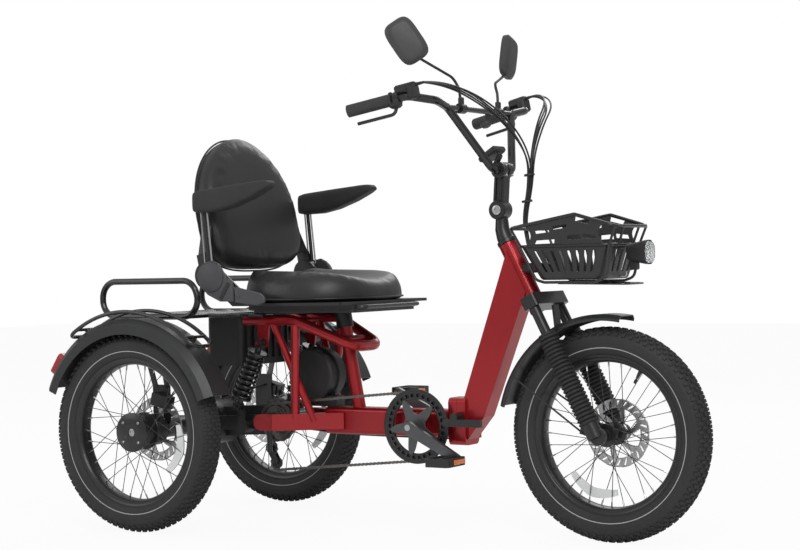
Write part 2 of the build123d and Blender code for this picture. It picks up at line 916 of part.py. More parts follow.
# Crankset: spindle, arms and five-arm spider; chain wheel and guard ring bolt to the spider
crank = math.radians(crank_angle)
crank_out = Vector(math.cos(crank), 0, -math.sin(crank))
guard_left = chain_left - chain_width / 2 - gap - guard_ring_width / 2
spider_left = guard_left - guard_ring_width / 2 - spider_thick / 2

with BuildPart() as crankset:
    cross_disc(pedal_axle, spindle_diameter / 2, 2 * crank_left)
    for side in (-1, 1):
        arm_centre = pedal_axle + Vector(0, side * crank_left, 0)
        arm_end = arm_centre - crank_out * side * crank_length
        bar(arm_centre, arm_end, crank_thick, crank_width)
        cross_disc(arm_centre, crank_width * 0.75, crank_thick)
        cross_disc(arm_end, crank_width / 2, crank_thick)
        cross_disc(arm_end, pedal_pin_diameter / 2 + running_fit, crank_thick + overrun, Mode.SUBTRACT)
    root = pedal_axle + Vector(0, spider_left, 0)
    cross_disc(root, crank_width, spider_thick)
    for arm in range(5):
        turn = crank + math.tau * arm / 5
        toward = Vector(math.cos(turn), 0, -math.sin(turn))
        bar(root, root + toward * (guard_ring_hole + spider_lap), spider_thick, spider_wide, (0, 0, 1))
keep(crankset, "crankset")

with BuildPart() as chain_wheel:
    ring_centre = pedal_axle + Vector(0, chain_left, 0)
    cross_disc(ring_centre, chain_ring_radius - chain_deep / 2 - gap, chain_ring_width)
    boss = abs(guard_left - chain_left) - guard_ring_width / 2
    cross_disc(ring_centre - Vector(0, boss / 2, 0), guard_ring_hole + spider_lap, boss)
    cross_disc(pedal_axle + Vector(0, guard_left, 0), guard_ring_radius, guard_ring_width)
    cross_disc(ring_centre, guard_ring_hole, overrun, Mode.SUBTRACT)
keep(chain_wheel, "chain_wheel")

for side, side_name in ((-1, "right"), (1, "left")):
    pin = pedal_axle - crank_out * side * crank_length
    inner_left = crank_left + crank_thick / 2 + pedal_gap
    body_centre = pin + Vector(0, side * (inner_left + pedal_length / 2), 0)
    with BuildPart() as pedal:
        with BuildSketch(Plane(body_centre - Vector(0, 0, pedal_thick / 2))):
            RectangleRounded(pedal_width, pedal_length, pedal_thick / 2)
            with GridLocations(pedal_width / 2, 0, 2, 1):
                Rectangle(pedal_width / 2 - pedal_rib, pedal_length - 2 * pedal_rib, mode=Mode.SUBTRACT)
        extrude(amount=pedal_thick)
        pin_length = inner_left + pedal_length - crank_left + crank_thick / 2 - pedal_rib / 2
        pin_centre = pin + Vector(0, side * (crank_left - crank_thick / 2 + pin_length / 2), 0)
        cross_disc(pin_centre, pedal_pin_diameter / 2, pin_length)
        cross_disc(body_centre, pedal_pin_diameter, pedal_length)
    keep(pedal, f"pedal_{side_name}")

# Rear brake calipers on their plates, with the fender stays
rotor_left = half_track - rear_hub_inreach - rotor_width / 2


def caliper(wheel_centre, angle, left, carrier_inward):
    """A brake caliper astride its disc, with a mounting foot on the carrier's side."""
    turn = math.radians(angle)
    radial = Vector(math.cos(turn), 0, math.sin(turn))
    tangent = Vector(-math.sin(turn), 0, math.cos(turn))
    middle = wheel_centre + Vector(0, left, 0) + radial * (rotor_radius - caliper_height * 0.2)
    half = radial * caliper_height / 2
    bar(middle - half, middle + half, caliper_width, caliper_length, tangent)
    slot_foot = middle - half - radial * overrun
    slot = rotor_width + 2 * rotor_clearance
    cut = bar(slot_foot, middle + radial * caliper_height * 0.3, slot, caliper_length * 2, tangent, Mode.PRIVATE)
    add(cut, mode=Mode.SUBTRACT)
    foot = middle + Vector(0, carrier_inward * (caliper_width / 2), 0)
    bar(foot - half, foot + half * 0.6, caliper_foot, caliper_length * 0.8, tangent)


with BuildPart() as rear_brakes:
    for side in (-1, 1):
        caliper(rear_axle, caliper_angle, side * rotor_left, -side)
        plate_left = side * (axle_tube_reach - brake_plate / 2)
        plate_foot = rear_axle + Vector(brake_plate_half, 0, 0)
        plate_head = rear_axle + Vector(brake_plate_half, 0, rotor_radius + caliper_height)
        plate([plate_foot, plate_head, plate_head - Vector(2 * brake_plate_half, 0, 0),
               plate_foot - Vector(2 * brake_plate_half, 0, 0)], brake_plate, plate_left)
        cross_disc(rear_axle + Vector(0, plate_left, 0), axle_tube_diameter / 2 + gap, overrun, Mode.SUBTRACT)
        for ahead in (-1, 1):
            stay_foot = Vector(rear_axle.X + ahead * brake_plate_half * 0.7, plate_left, plate_head.Z - caliper_foot)
            stay_left = side * (half_track - fender_half_width - gap - brake_plate / 2)
            stay_head = Vector(rear_axle.X + ahead * brake_plate_half, stay_left, axle_height + fender_skirt_radius)
            stay_top = stay_head + Vector(0, 0, fender_shoulder)
            bar(stay_foot, stay_head, brake_plate, fender_stay_wide, (1, 0, 0))
            bar(stay_head - Vector(0, 0, brake_plate), stay_top, brake_plate, fender_stay_wide, (1, 0, 0))
keep(rear_brakes, "rear_brakes")

# Rear fenders with skirts, their guards of bent tube, and tail lamps
def fender_outline(radius, skirt_radius, half_width, shoulder):
    """A thin channel: skirt, shoulder and crown, then back along the inside."""
    outer = [(half_width, skirt_radius), (half_width, radius - shoulder), (half_width - shoulder, radius)]
    inner = [
        (half_width - fender_wall, skirt_radius),
        (half_width - fender_wall, radius - shoulder),
        (half_width - shoulder - fender_wall / 2, radius - fender_wall),
    ]
    mirrored = [(-left, height) for left, height in reversed(outer)]
    inner_mirrored = [(-left, height) for left, height in inner]
    return outer + mirrored + inner_mirrored + list(reversed(inner))


with BuildPart() as rear_fenders:
    outline = fender_outline(fender_radius, fender_skirt_radius, fender_half_width, fender_shoulder)
    for side in (-1, 1):
        centre = rear_axle + Vector(0, side * half_track, 0)
        cross_ring(centre, outline, fender_rear_angle - fender_front_angle, fender_front_angle)
keep(rear_fenders, "rear_fenders")


def round_wheel(centre, radius, angle, left):
    """A point at an angle round a wheel, measured up from straight ahead."""
    turn = math.radians(angle)
    return centre + Vector(radius * math.cos(turn), left, radius * math.sin(turn))


with BuildPart() as fender_guards:
    guard_radius = fender_radius + guard_rise + guard_tube / 2
    middle_angle = (guard_front_angle + guard_rear_angle) / 2
    for side in (-1, 1):
        lanes = [
            [
                round_wheel(rear_axle, guard_radius, angle, side * half_track + half * guard_half_width)
                for angle in (guard_front_angle, middle_angle, guard_rear_angle)
            ]
            for half in (-1, 1)
        ]
        (near_front, near_top, near_rear), (far_front, far_top, far_rear) = lanes
        rearward = round_wheel(Vector(0, 0, 0), guard_end_reach, guard_rear_angle + right_angle, 0)
        forward = round_wheel(Vector(0, 0, 0), guard_end_reach, guard_front_angle - right_angle, 0)
        with BuildLine() as loop:
            ThreePointArc(near_front, near_top, near_rear)
            FilletPolyline(near_rear, near_rear + rearward, far_rear + rearward, far_rear, radius=guard_bend)
            ThreePointArc(far_rear, far_top, far_front)
            FilletPolyline(far_front, far_front + forward, near_front + forward, near_front, radius=guard_bend)
        tube_along(loop.line, guard_tube)
        for angle in (guard_front_angle, guard_rear_angle):
            foot = round_wheel(rear_axle, fender_radius + gap, angle, side * half_track)
            head = round_wheel(rear_axle, guard_radius, angle, side * half_track)
            lane_head = Vector(0, guard_half_width, 0)
            tube([head - lane_head, head + lane_head], guard_tube * guard_cross_share)
            tube([foot, head], guard_tube * guard_foot_share)
keep(fender_guards, "fender_guards")

with BuildPart() as tail_lamps:
    for side in (-1, 1):
        seat = round_wheel(rear_axle, fender_radius + gap, lamp_angle, side * half_track)
        out = (seat - rear_axle - Vector(0, side * half_track, 0)).normalized()
        with BuildSketch(Plane(seat, x_dir=(0, 1, 0), z_dir=out)) as lamp_face:
            RectangleRounded(tail_lamp_wide, tail_lamp_tall, tail_lamp_corner)
        extrude(lamp_face.sketch, amount=tail_lamp_deep)
keep(tail_lamps, "tail_lamps")

# Cargo rack: a loop at each side, deck tubes across, runners forward under the seat base
deck_height = seat_base_height - seat_base_thick / 2 - gap - deck_tube / 2

with BuildPart() as cargo_rack:
    rear_x = rack_rear_forward + rack_tube / 2
    for side in (-1, 1):
        closed_tube(
            [
                spot(rear_x, side * rack_left, deck_height),
                spot(rear_x, side * rack_left, rack_top - rack_tube / 2),
                spot(rack_front_forward - rack_slope, side * rack_left, rack_top - rack_tube / 2),
                spot(rack_front_forward, side * rack_left, deck_height),
            ],
            rack_tube,
            rack_corner,
        )
        runner_rear = spot(rear_x + rack_corner, side * runner_left, deck_height)
        tube([runner_rear, spot(rack_stay_forward + runner_lap, side * runner_left, deck_height)], deck_tube)
    for slat in range(deck_slats):
        station = rear_x + rack_corner + (rack_front_forward - rear_x - 2 * rack_corner) * slat / (deck_slats - 1)
        tube([spot(station, -rack_left, deck_height), spot(station, rack_left, deck_height)], deck_tube)
    strap = spot(strap_forward, 0, upper_tube_height + upper_tube_diameter / 2 + gap)
    with BuildSketch(Plane(strap)):
        Rectangle(strap_wide, 2 * runner_left + deck_tube)
    extrude(amount=strap_thick)
keep(cargo_rack, "cargo_rack")

# Battery box under the rack, and the rounded controller case under the seat
with BuildPart() as battery_box:
    battery_top = deck_height - deck_tube / 2 - gap
    middle = (battery_rear_forward + battery_front_forward) / 2
    with BuildSketch(Plane(spot(middle, 0, battery_bottom))):
        RectangleRounded(battery_front_forward - battery_rear_forward, 2 * battery_left, battery_corner)
    extrude(amount=battery_top - battery_bottom)
    with BuildSketch(Plane(spot(middle, 0, battery_bottom + battery_corner))):
        with GridLocations(0, battery_rib_pitch, 1, battery_ribs):
            Rectangle(battery_front_forward - battery_rear_forward + 2 * battery_rib, battery_rib)
    extrude(amount=battery_top - battery_bottom - 2 * battery_corner)
keep(battery_box, "battery_box")

with BuildPart() as controller_case:
    centre = spot(case_forward, 0, case_height)
    cross_disc(centre, case_radius, 2 * case_left)
    cross_disc(centre, case_radius + case_rim, case_rim * 2)
    chamfer(controller_case.edges().group_by(Axis.Y)[0], case_rim)
    chamfer(controller_case.edges().group_by(Axis.Y)[-1], case_rim)
    foot = spot(case_forward + case_foot_ahead, 0, beam_height + beam_deep / 2 + gap)
    with BuildSketch(Plane(foot)):
        Rectangle(case_foot_length, case_left)
    extrude(amount=case_foot_height)
keep(controller_case, "controller_case")

# Seat: base plate with its post clamp, rails with the adjuster bar, pan, and cushion
base_top = seat_base_height + seat_base_thick / 2
base_bottom = seat_base_height - seat_base_thick / 2
rail_top = base_top + rail_height
pan_top = rail_top + pan_thick
base_middle = (seat_base_rear_forward + seat_base_front_forward) / 2
post_up = (seat_head - seat_foot).normalized()

with BuildPart() as seat_base:
    with BuildSketch(Plane(spot(base_middle, 0, base_bottom))):
        RectangleRounded(seat_base_front_forward - seat_base_rear_forward, 2 * seat_base_left, seat_base_corner)
    extrude(amount=seat_base_thick)
    collar_foot = seat_head - post_up * seat_collar_length
    with BuildSketch(Plane(collar_foot, x_dir=(0, 1, 0), z_dir=post_up)):
        Circle(seat_tube_diameter / 2 + seat_collar_wall)
    extrude(amount=seat_collar_length + seat_base_thick / 2)
    with BuildSketch(Plane(collar_foot, x_dir=(0, 1, 0), z_dir=post_up)):
        Circle(seat_tube_diameter / 2 + running_fit)
    extrude(amount=seat_collar_length + running_fit, mode=Mode.SUBTRACT)
    pad_foot = spot(pad_forward, 0, upper_tube_height + upper_tube_diameter / 2 + gap)
    with BuildSketch(Plane(pad_foot)):
        Rectangle(strap_wide, 2 * arm_left + upper_tube_diameter)
    extrude(amount=base_bottom - pad_foot.Z)
keep(seat_base, "seat_base")

with BuildPart() as seat_rails:
    rail_middle = (rail_rear_forward + rail_front_forward) / 2
    with BuildSketch(Plane(spot(rail_middle, 0, base_top))):
        with GridLocations(0, 2 * rail_left, 1, 2):
            Rectangle(rail_front_forward - rail_rear_forward, rail_width)
    extrude(amount=rail_height)
    with BuildSketch(Plane(spot(rail_middle, 0, rail_top))):
        RectangleRounded(rail_front_forward - rail_rear_forward, 2 * (cushion_left + recline_bracket), seat_base_corner)
    extrude(amount=pan_thick)
    handle_height = rail_top - adjuster_diameter / 2
    tube(
        [
            spot(rail_front_forward - rail_width, -rail_left, handle_height),
            spot(rail_front_forward + adjuster_reach, -rail_left, handle_height),
            spot(rail_front_forward + adjuster_reach, rail_left, handle_height),
            spot(rail_front_forward - rail_width, rail_left, handle_height),
        ],
        adjuster_diameter,
        adjuster_diameter * 1.5,
    )
    for side in (-1, 1):
        bracket_left = side * (cushion_left + gap + recline_bracket / 2)
        eye = spot(recline_forward, 0, recline_height)
        foot_front = spot(rail_rear_forward + recline_radius * 2, 0, rail_top)
        foot_rear = spot(rail_rear_forward, 0, rail_top)
        plate(
            [
                foot_rear,
                foot_front,
                foot_front + Vector(0, 0, pan_thick),
                eye + Vector(recline_radius * 0.7, 0, recline_radius * 0.7),
                eye - Vector(recline_radius * 0.8, 0, 0),
            ],
            recline_bracket,
            bracket_left,
        )
        cross_disc(Vector(eye.X, bracket_left, eye.Z), recline_radius, recline_bracket)
        pin_length = recline_bracket + gap + recline_thick
        pin_middle = Vector(eye.X, side * (cushion_left + gap + pin_length / 2), eye.Z)
        cross_disc(pin_middle, recline_pin / 2, pin_length)
keep(seat_rails, "seat_rails")

# Cushion profile: shares of its length from the rear and of its thickness
cushion_shares = ((0, 0), (0.9, 0), (1.0, 0.4), (0.97, 0.72), (0.8, 0.92), (0.4, 0.9), (0.06, 1.0), (0, 0.9))

with BuildPart() as seat_cushion:
    cushion_length = cushion_front_forward - cushion_rear_forward
    foot = pan_top + gap
    with BuildSketch(Plane((0, cushion_left, 0), x_dir=(1, 0, 0), z_dir=(0, -1, 0))):
        with BuildLine():
            profile = [
                spot(cushion_rear_forward + along * cushion_length, 0, foot + high * cushion_thick)
                for along, high in cushion_shares
            ]
            Polyline(*[(p.X, p.Z) for p in profile], close=True)
        make_face()
    extrude(amount=2 * cushion_left)
keep(seat_cushion, "seat_cushion")

# Backrest frame of reference: up the leaning back, and square out of its front face
lean = math.radians(back_lean)
back_up = Vector(-math.sin(lean), 0, math.cos(lean))
back_front = Vector(math.cos(lean), 0, math.sin(lean))
back_root = spot(recline_forward, 0, recline_height) + back_up * back_foot + back_front * back_ahead

# Backrest outline: shares of its half width and of its length
back_shares = ((0.72, 0), (0.96, 0.16), (1.0, 0.42), (0.86, 0.74), (0.62, 0.93), (0.3, 1.0))

with BuildPart() as backrest_pad:
    rear_face = Plane(back_root - back_front * back_thick / 2, x_dir=(0, 1, 0), z_dir=back_front)
    with BuildSketch(rear_face):
        with BuildLine():
            rim_points = [(wide * back_left, high * back_length) for wide, high in back_shares]
            Polyline(*rim_points, *[(-left, high) for left, high in reversed(rim_points)], close=True)
        make_face()
    extrude(amount=back_thick)
keep(backrest_pad, "backrest_pad")

with BuildPart() as recliner_arms:
    for side in (-1, 1):
        plate_left = side * (cushion_left + recline_bracket + 2 * gap + recline_thick / 2)
        eye = spot(recline_forward, plate_left, recline_height)
        cross_disc(eye, recline_radius, recline_thick)
        pad_side = back_root + back_up * back_length * arm_grip_share + Vector(0, side * (back_left + gap + arm_flat / 2), 0)
        knee = eye + back_up * (recline_radius + post_flat_width)
        bar(eye, knee + back_up * arm_flat, recline_thick, post_flat_width * 2, back_front)
        bar(knee, pad_side, arm_flat, post_flat_width * 2, back_front)
        bar(pad_side - back_up * arm_flat, pad_side + back_up * post_flat_width * 3,
            arm_flat, post_flat_width * 2, back_front)
        cross_disc(eye, recline_pin / 2 + running_fit, recline_thick + overrun, Mode.SUBTRACT)
keep(recliner_arms, "recliner_arms")

# Armrest side profile: shares of its length and of its thickness
armrest_shares = ((0, 0.1), (0.05, 0), (0.2, 0), (0.86, 0.66), (1.0, 1.0), (0.97, 1.3), (0.9, 1.4), (0.06, 1.0), (0, 0.86))

with BuildPart() as armrest_posts:
    for side in (-1, 1):
        post_left = side * (cushion_left + recline_bracket + 3 * gap + recline_thick + post_flat_thick / 2)
        foot = spot(armrest_post_forward, post_left, recline_height)
        head = spot(armrest_post_forward, post_left, armrest_height - armrest_thick - gap)
        bar(foot, head, post_flat_thick, post_flat_width, (1, 0, 0))
        cross_disc(foot, post_flat_width * 0.9, post_flat_thick)
keep(armrest_posts, "armrest_posts")

with BuildPart() as armrests:
    for side in (-1, 1):
        face = Plane((0, side * armrest_left + armrest_half_width, 0), x_dir=(1, 0, 0), z_dir=(0, -1, 0))
        with BuildSketch(face) as side_face:
            with BuildLine():
                profile = [
                    (
                        spot(armrest_rear_forward + along * armrest_length, 0, 0).X,
                        armrest_height + (high - 1) * armrest_thick,
                    )
                    for along, high in armrest_shares
                ]
                Polyline(*profile, close=True)
            make_face()
        extrude(side_face.sketch, amount=2 * armrest_half_width)
keep(armrests, "armrests")

# Front frame: hinge plate, down tube as a deep side profile, and head tube
with BuildPart() as front_frame:
    hinge_half(hinge_forward + hinge_gap / 2, 1)
    lower = head_foot + steer_up * head_collar
    upper = head_top - steer_up * head_collar
    plate_front = hinge_forward + hinge_gap / 2
    with BuildSketch(Plane((0, down_tube_wide / 2, 0), x_dir=(1, 0, 0), z_dir=(0, -1, 0))):
        with BuildLine():
            outline = [
                spot(plate_front, 0, hinge_bottom + beam_corner),
                spot(plate_front + hinge_plate, 0, hinge_bottom + beam_corner),
                spot(down_tube_front_forward, 0, down_tube_front_height),
                lower,
                upper,
                spot(plate_front + hinge_plate * 0.7, 0, hinge_top - hinge_gap),
                spot(plate_front, 0, hinge_top - beam_corner),
            ]
            Polyline(*[(p.X, p.Z) for p in outline], close=True)
        make_face()
    extrude(amount=down_tube_wide)
    with BuildSketch(Plane(head_foot, x_dir=(0, 1, 0), z_dir=steer_up)):
        Circle(head_tube_diameter / 2)
    extrude(amount=head_tube_length)
    with BuildSketch(Plane(head_foot - steer_up * overrun, x_dir=(0, 1, 0), z_dir=steer_up)):
        Circle(steerer_diameter / 2 + running_fit)
    extrude(amount=head_tube_length + 2 * overrun, mode=Mode.SUBTRACT)
    hinge_knuckle_rings(1)
    with BuildSketch(Plane(fold_pin_foot)) as pin_bore:
        Circle(hinge_pin_diameter / 2 + running_fit)
    extrude(pin_bore.sketch, amount=fold_pin_length, mode=Mode.SUBTRACT)
keep(front_frame, "front_frame")

with BuildPart() as hinge_lever:
    lever_left = -(hinge_wide / 2 + gap + lever_stand + lever_thick / 2)
    rear = spot(hinge_forward - lever_rear, lever_left, lever_height)
    front = spot(hinge_forward + lever_front, lever_left, lever_height)
    bar(rear, front, lever_thick, lever_tall)
    boss = spot(hinge_forward + hinge_plate / 2, -(hinge_wide / 2 + gap + lever_stand / 2), lever_height)
    cross_disc(boss, lever_tall * 0.4, lever_stand)
    cross_disc(boss + Vector(0, -lever_thick / 2, lever_tall * 0.8), lever_tall * 0.55, lever_stand + lever_thick)
keep(hinge_lever, "hinge_lever")

# Basket: a tapered box of thin slotted panels under a tube rim, on a bracket from the head tube
basket_middle = (basket_rear_forward + basket_front_forward) / 2
basket_half = (basket_front_forward - basket_rear_forward) / 2


def basket_section(height, inset):
    """A rounded rectangle of the basket at a height, drawn in by the walls and their draft."""
    share = (basket_rim_height - height) / (basket_rim_height - basket_bottom_height)
    draft = basket_draft * share
    with BuildSketch(Plane(spot(basket_middle, 0, height))) as ring:
        RectangleRounded(2 * (basket_half - draft - inset), 2 * (basket_left - draft - inset), basket_corner)
    return ring.sketch


with BuildPart() as basket:
    loft([basket_section(basket_bottom_height, 0), basket_section(basket_rim_height, 0)])
    loft(
        [basket_section(basket_bottom_height + basket_wall, basket_wall),
         basket_section(basket_rim_height + basket_wall, basket_wall)],
        mode=Mode.SUBTRACT,
    )
    slot_band = (basket_rim_height - basket_bottom_height) / 2
    for band_foot, slot_tall in ((basket_bottom_height + slot_margin, slot_band - 2 * slot_margin),):
        with BuildSketch(Plane(spot(basket_middle, 0, band_foot))):
            with GridLocations(slot_pitch, 0, int(2 * (basket_half - basket_draft - basket_corner) / slot_pitch), 1):
                Rectangle(slot_wide, 3 * basket_left)
            with GridLocations(0, slot_pitch, 1, int(2 * (basket_left - basket_draft - basket_corner) / slot_pitch)):
                Rectangle(3 * basket_half, slot_wide)
        extrude(amount=slot_tall, mode=Mode.SUBTRACT)
    reach_foot = on_steering(head_tube_length * 0.45, bracket_start)
    reach_head = spot(basket_rear_forward + basket_draft + basket_wall / 2, 0, reach_foot.Z + bracket_rise)
    bar(reach_foot, reach_head, basket_bracket_wide, basket_bracket_tall)
    with BuildSketch(Plane(head_foot, x_dir=(0, 1, 0), z_dir=steer_up)) as head_room:
        Circle(head_tube_diameter / 2 + gap)
    extrude(head_room.sketch, amount=head_tube_length, mode=Mode.SUBTRACT)
keep(basket, "basket")

with BuildPart() as headlamp:
    back_radius = lamp_radius - lamp_depth * math.tan(math.radians(lamp_taper))
    wall_share = (basket_rim_height - lamp_height - back_radius) / (basket_rim_height - basket_bottom_height)
    lamp_rear = basket_front_forward - basket_draft * wall_share + gap
    face = spot(lamp_rear + lamp_depth, 0, lamp_height)
    with BuildSketch(Plane(face, x_dir=(0, 1, 0), z_dir=(-1, 0, 0))) as front_rim:
        Circle(lamp_radius)
    extrude(front_rim.sketch, amount=lamp_depth, taper=lamp_taper)
keep(headlamp, "headlamp")

# Fork: steerer, crown, stanchions and lower legs, parallel to the steering axis
leg_ahead = stanchion_offset
axle_up = -fork_length

with BuildPart() as fork:
    crown_top = -crown_drop
    tube([on_steering(crown_top - crown_height), on_steering(head_tube_length + steerer_stand - stem_width / 2)], steerer_diameter)
    with BuildSketch(Plane(on_steering(crown_top - crown_height), x_dir=(0, 1, 0), z_dir=steer_up)) as crown:
        Circle(crown_boss_radius)
        with Locations((0, -leg_ahead)):
            RectangleRounded(2 * stanchion_left + stanchion_diameter + crown_lip, crown_depth, crown_lip)
    extrude(crown.sketch, amount=crown_height)
    for side in (-1, 1):
        leg = Vector(0, side * stanchion_left, 0)
        leg_foot = on_steering(axle_up, leg_ahead) + leg
        tube([leg_foot, on_steering(crown_top, leg_ahead) + leg], stanchion_diameter)
        tube([leg_foot, leg_foot + steer_up * (boot_foot - gap)], lower_leg_diameter)
        drop = on_steering(axle_up, fork_offset)
        cross_disc(drop + leg, lower_leg_diameter / 2, dropout_thick)
    cross_disc(front_axle, axle_diameter / 2, 2 * stanchion_left + dropout_thick)
keep(fork, "fork")

with BuildPart() as fork_boots:
    for side in (-1, 1):
        foot = on_steering(axle_up + boot_foot, leg_ahead, side * stanchion_left)
        pitch = (boot_head - boot_foot) / boot_ribs
        pleats(foot, steer_up, boot_radius - boot_groove, boot_radius, pitch, boot_ribs, stanchion_diameter / 2 + gap)
keep(fork_boots, "fork_boots")

with BuildPart() as front_fender:
    outline = fender_outline(
        front_fender_radius, front_fender_skirt_radius, front_fender_half_width, front_fender_shoulder
    )
    cross_ring(front_axle, outline, front_fender_rear_angle - front_fender_front_angle, front_fender_front_angle)
    bracket_top = on_steering(-crown_drop - crown_height - gap - fender_bracket_thick, leg_ahead + crown_depth / 2)
    bracket_foot = round_wheel(front_axle, front_fender_radius, fender_bracket_angle, 0)
    bar(bracket_foot, bracket_top, fender_bracket_wide, fender_bracket_thick, (1, 0, 0))
    for side in (-1, 1):
        stay_start = round_wheel(front_axle, front_fender_skirt_radius + stay_diameter, stay_angle,
                                 side * (front_fender_half_width + stay_diameter / 2 - gap))
        stay_end = on_steering(axle_up + boot_foot / 2, leg_ahead - lower_leg_diameter / 2 - stay_diameter / 2, side * stanchion_left)
        tube([stay_start, stay_end], stay_diameter)
keep(front_fender, "front_fender")

# Stem: lower clamp on the steerer, round pivot, post in two rails, and the bar clamp
stem_pivot = on_steering(stem_pivot_up, stem_pivot_ahead)
bar_centre = spot(clamp_forward, 0, clamp_height)

with BuildPart() as stem:
    stem_foot = on_steering(head_tube_length + gap)
    with BuildSketch(Plane(stem_foot, x_dir=(0, 1, 0), z_dir=steer_up)) as sleeve:
        Circle(head_tube_diameter / 2 - stem_step)
        Circle(steerer_diameter / 2 + gap, mode=Mode.SUBTRACT)
    extrude(sleeve.sketch, amount=steerer_stand + stem_step)
    cap_foot = on_steering(head_tube_length + steerer_stand + gap)
    bar(cap_foot, stem_pivot, stem_width, stem_width)
    cross_disc(stem_pivot, stem_pivot_radius, stem_width + stem_step)
    for side in (-1, 1):
        rail = Vector(0, side * (stem_width - stem_rail) / 2, 0)
        bar(stem_pivot + rail, bar_centre + rail, stem_rail, stem_width, (1, 0, 0))
    cross_disc(bar_centre, clamp_diameter / 2, clamp_width)
    cross_disc(bar_centre, bar_diameter / 2 + gap, clamp_width + overrun, Mode.SUBTRACT)
keep(stem, "stem")

with BuildPart() as handlebar:
    half_bar = [
        (clamp_forward, rise_foot_left, clamp_height),
        (rise_head_forward, rise_head_left, bar_head_height),
        (bar_bend_forward, bar_bend_left, bar_bend_height),
        (grip_inner_forward, grip_inner_left, grip_inner_height),
        (grip_outer_forward, grip_outer_left, grip_outer_height),
    ]
    bar_points = [spot(f, -left, up) for f, left, up in reversed(half_bar)] + [spot(*point) for point in half_bar]
    tube(bar_points, bar_diameter, bar_bend)
    tube([spot(rise_head_forward, -rise_head_left, bar_head_height),
          spot(rise_head_forward, rise_head_left, bar_head_height)], bar_diameter * 0.7)
keep(handlebar, "handlebar")

with BuildPart() as grips:
    for side in (-1, 1):
        inner_end = spot(grip_inner_forward, side * grip_inner_left, grip_inner_height)
        outer_end = spot(grip_outer_forward, side * grip_outer_left, grip_outer_height)
        along = (outer_end - inner_end).normalized()
        length = (outer_end - inner_end).length
        bore = bar_diameter / 2 + gap
        outline = [
            (bore, length - grip_length),
            (grip_diameter / 2 + grip_lip, length - grip_length),
            (grip_diameter / 2 + grip_lip, length - grip_length + grip_lip),
            (grip_diameter / 2, length - grip_length + 2 * grip_lip),
            (grip_diameter / 2, length + grip_lip),
            (0, length + grip_lip),
            (0, length + gap),
            (bore, length + gap),
        ]
        turned(inner_end, along, outline)
keep(grips, "grips")

with BuildPart() as brake_levers:
    for side in (-1, 1):
        inner_end = spot(grip_inner_forward, side * grip_inner_left, grip_inner_height)
        outer_end = spot(grip_outer_forward, side * grip_outer_left, grip_outer_height)
        along = (outer_end - inner_end).normalized()
        clamp_at = inner_end + along * ((outer_end - inner_end).length - grip_length - 1.5 * lever_clamp)
        outline = [
            (bar_diameter / 2 + gap, 0),
            (bar_diameter / 2 + lever_clamp / 2, 0),
            (bar_diameter / 2 + lever_clamp / 2, lever_clamp - gap),
            (bar_diameter / 2 + gap, lever_clamp - gap),
        ]
        turned(clamp_at, along, outline)
        ahead = Vector(0, side, 0).cross(along).normalized() * side
        down = Vector(0, 0, -1)
        root = clamp_at + along * lever_clamp / 2 + down * (bar_diameter + lever_blade) / 2
        perch = root + down * lever_reach + Vector(0, side * lever_reach / 2, 0)
        tube([root, perch, perch + along * lever_length], lever_blade, lever_blade * 1.5)
keep(brake_levers, "brake_levers")

with BuildPart() as display:
    face = bar_centre + Vector(0, 0, clamp_diameter / 2 + gap)
    with BuildSketch(Plane(face)):
        RectangleRounded(display_deep, display_wide, display_corner)
    extrude(amount=display_tall)
keep(display, "display")

with BuildPart() as mirrors:
    for side in (-1, 1):
        base = spot(rise_head_forward, side * mirror_base_left, bar_head_height)
        head = spot(mirror_forward, side * mirror_left, mirror_height)
        mid = spot(rise_head_forward, side * (mirror_base_left + mirror_left) / 2, (bar_head_height + mirror_height) / 2)
        cross_disc(base, bar_diameter * 0.6, mirror_clamp)
        cross_disc(base, bar_diameter * 0.35 + gap, mirror_clamp + overrun, Mode.SUBTRACT)
        start = base + Vector(0, 0, bar_diameter * 0.5)
        tube([start, mid, head], mirror_stem, mirror_bend)
        with BuildSketch(Plane(head - Vector(mirror_thick / 2, 0, 0), x_dir=(0, 1, 0), z_dir=(1, 0, 0))) as shell:
            RectangleRounded(mirror_wide, mirror_tall, mirror_corner)
        extrude(shell.sketch, amount=mirror_thick)
keep(mirrors, "mirrors")

with BuildPart() as front_caliper:
    caliper(front_axle, front_caliper_angle, front_hub_half_width + rotor_width / 2, 1)
    adapter_start = round_wheel(front_axle, rotor_radius, front_caliper_angle, adapter_left)
    adapter_end = on_steering(axle_up + lower_leg_diameter / 4, leg_ahead, adapter_left)
    bar(adapter_start, adapter_end, caliper_foot, adapter_tall)
    leg_room = Plane(on_steering(axle_up - boot_foot, leg_ahead, stanchion_left), x_dir=(0, 1, 0), z_dir=steer_up)
    with BuildSketch(leg_room):
        Circle(lower_leg_diameter / 2 + gap)
    extrude(amount=boot_head, mode=Mode.SUBTRACT)
keep(front_caliper, "front_caliper")
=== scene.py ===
import bmesh
import bpy
import math
import numpy as np
from mathutils import Matrix, Vector


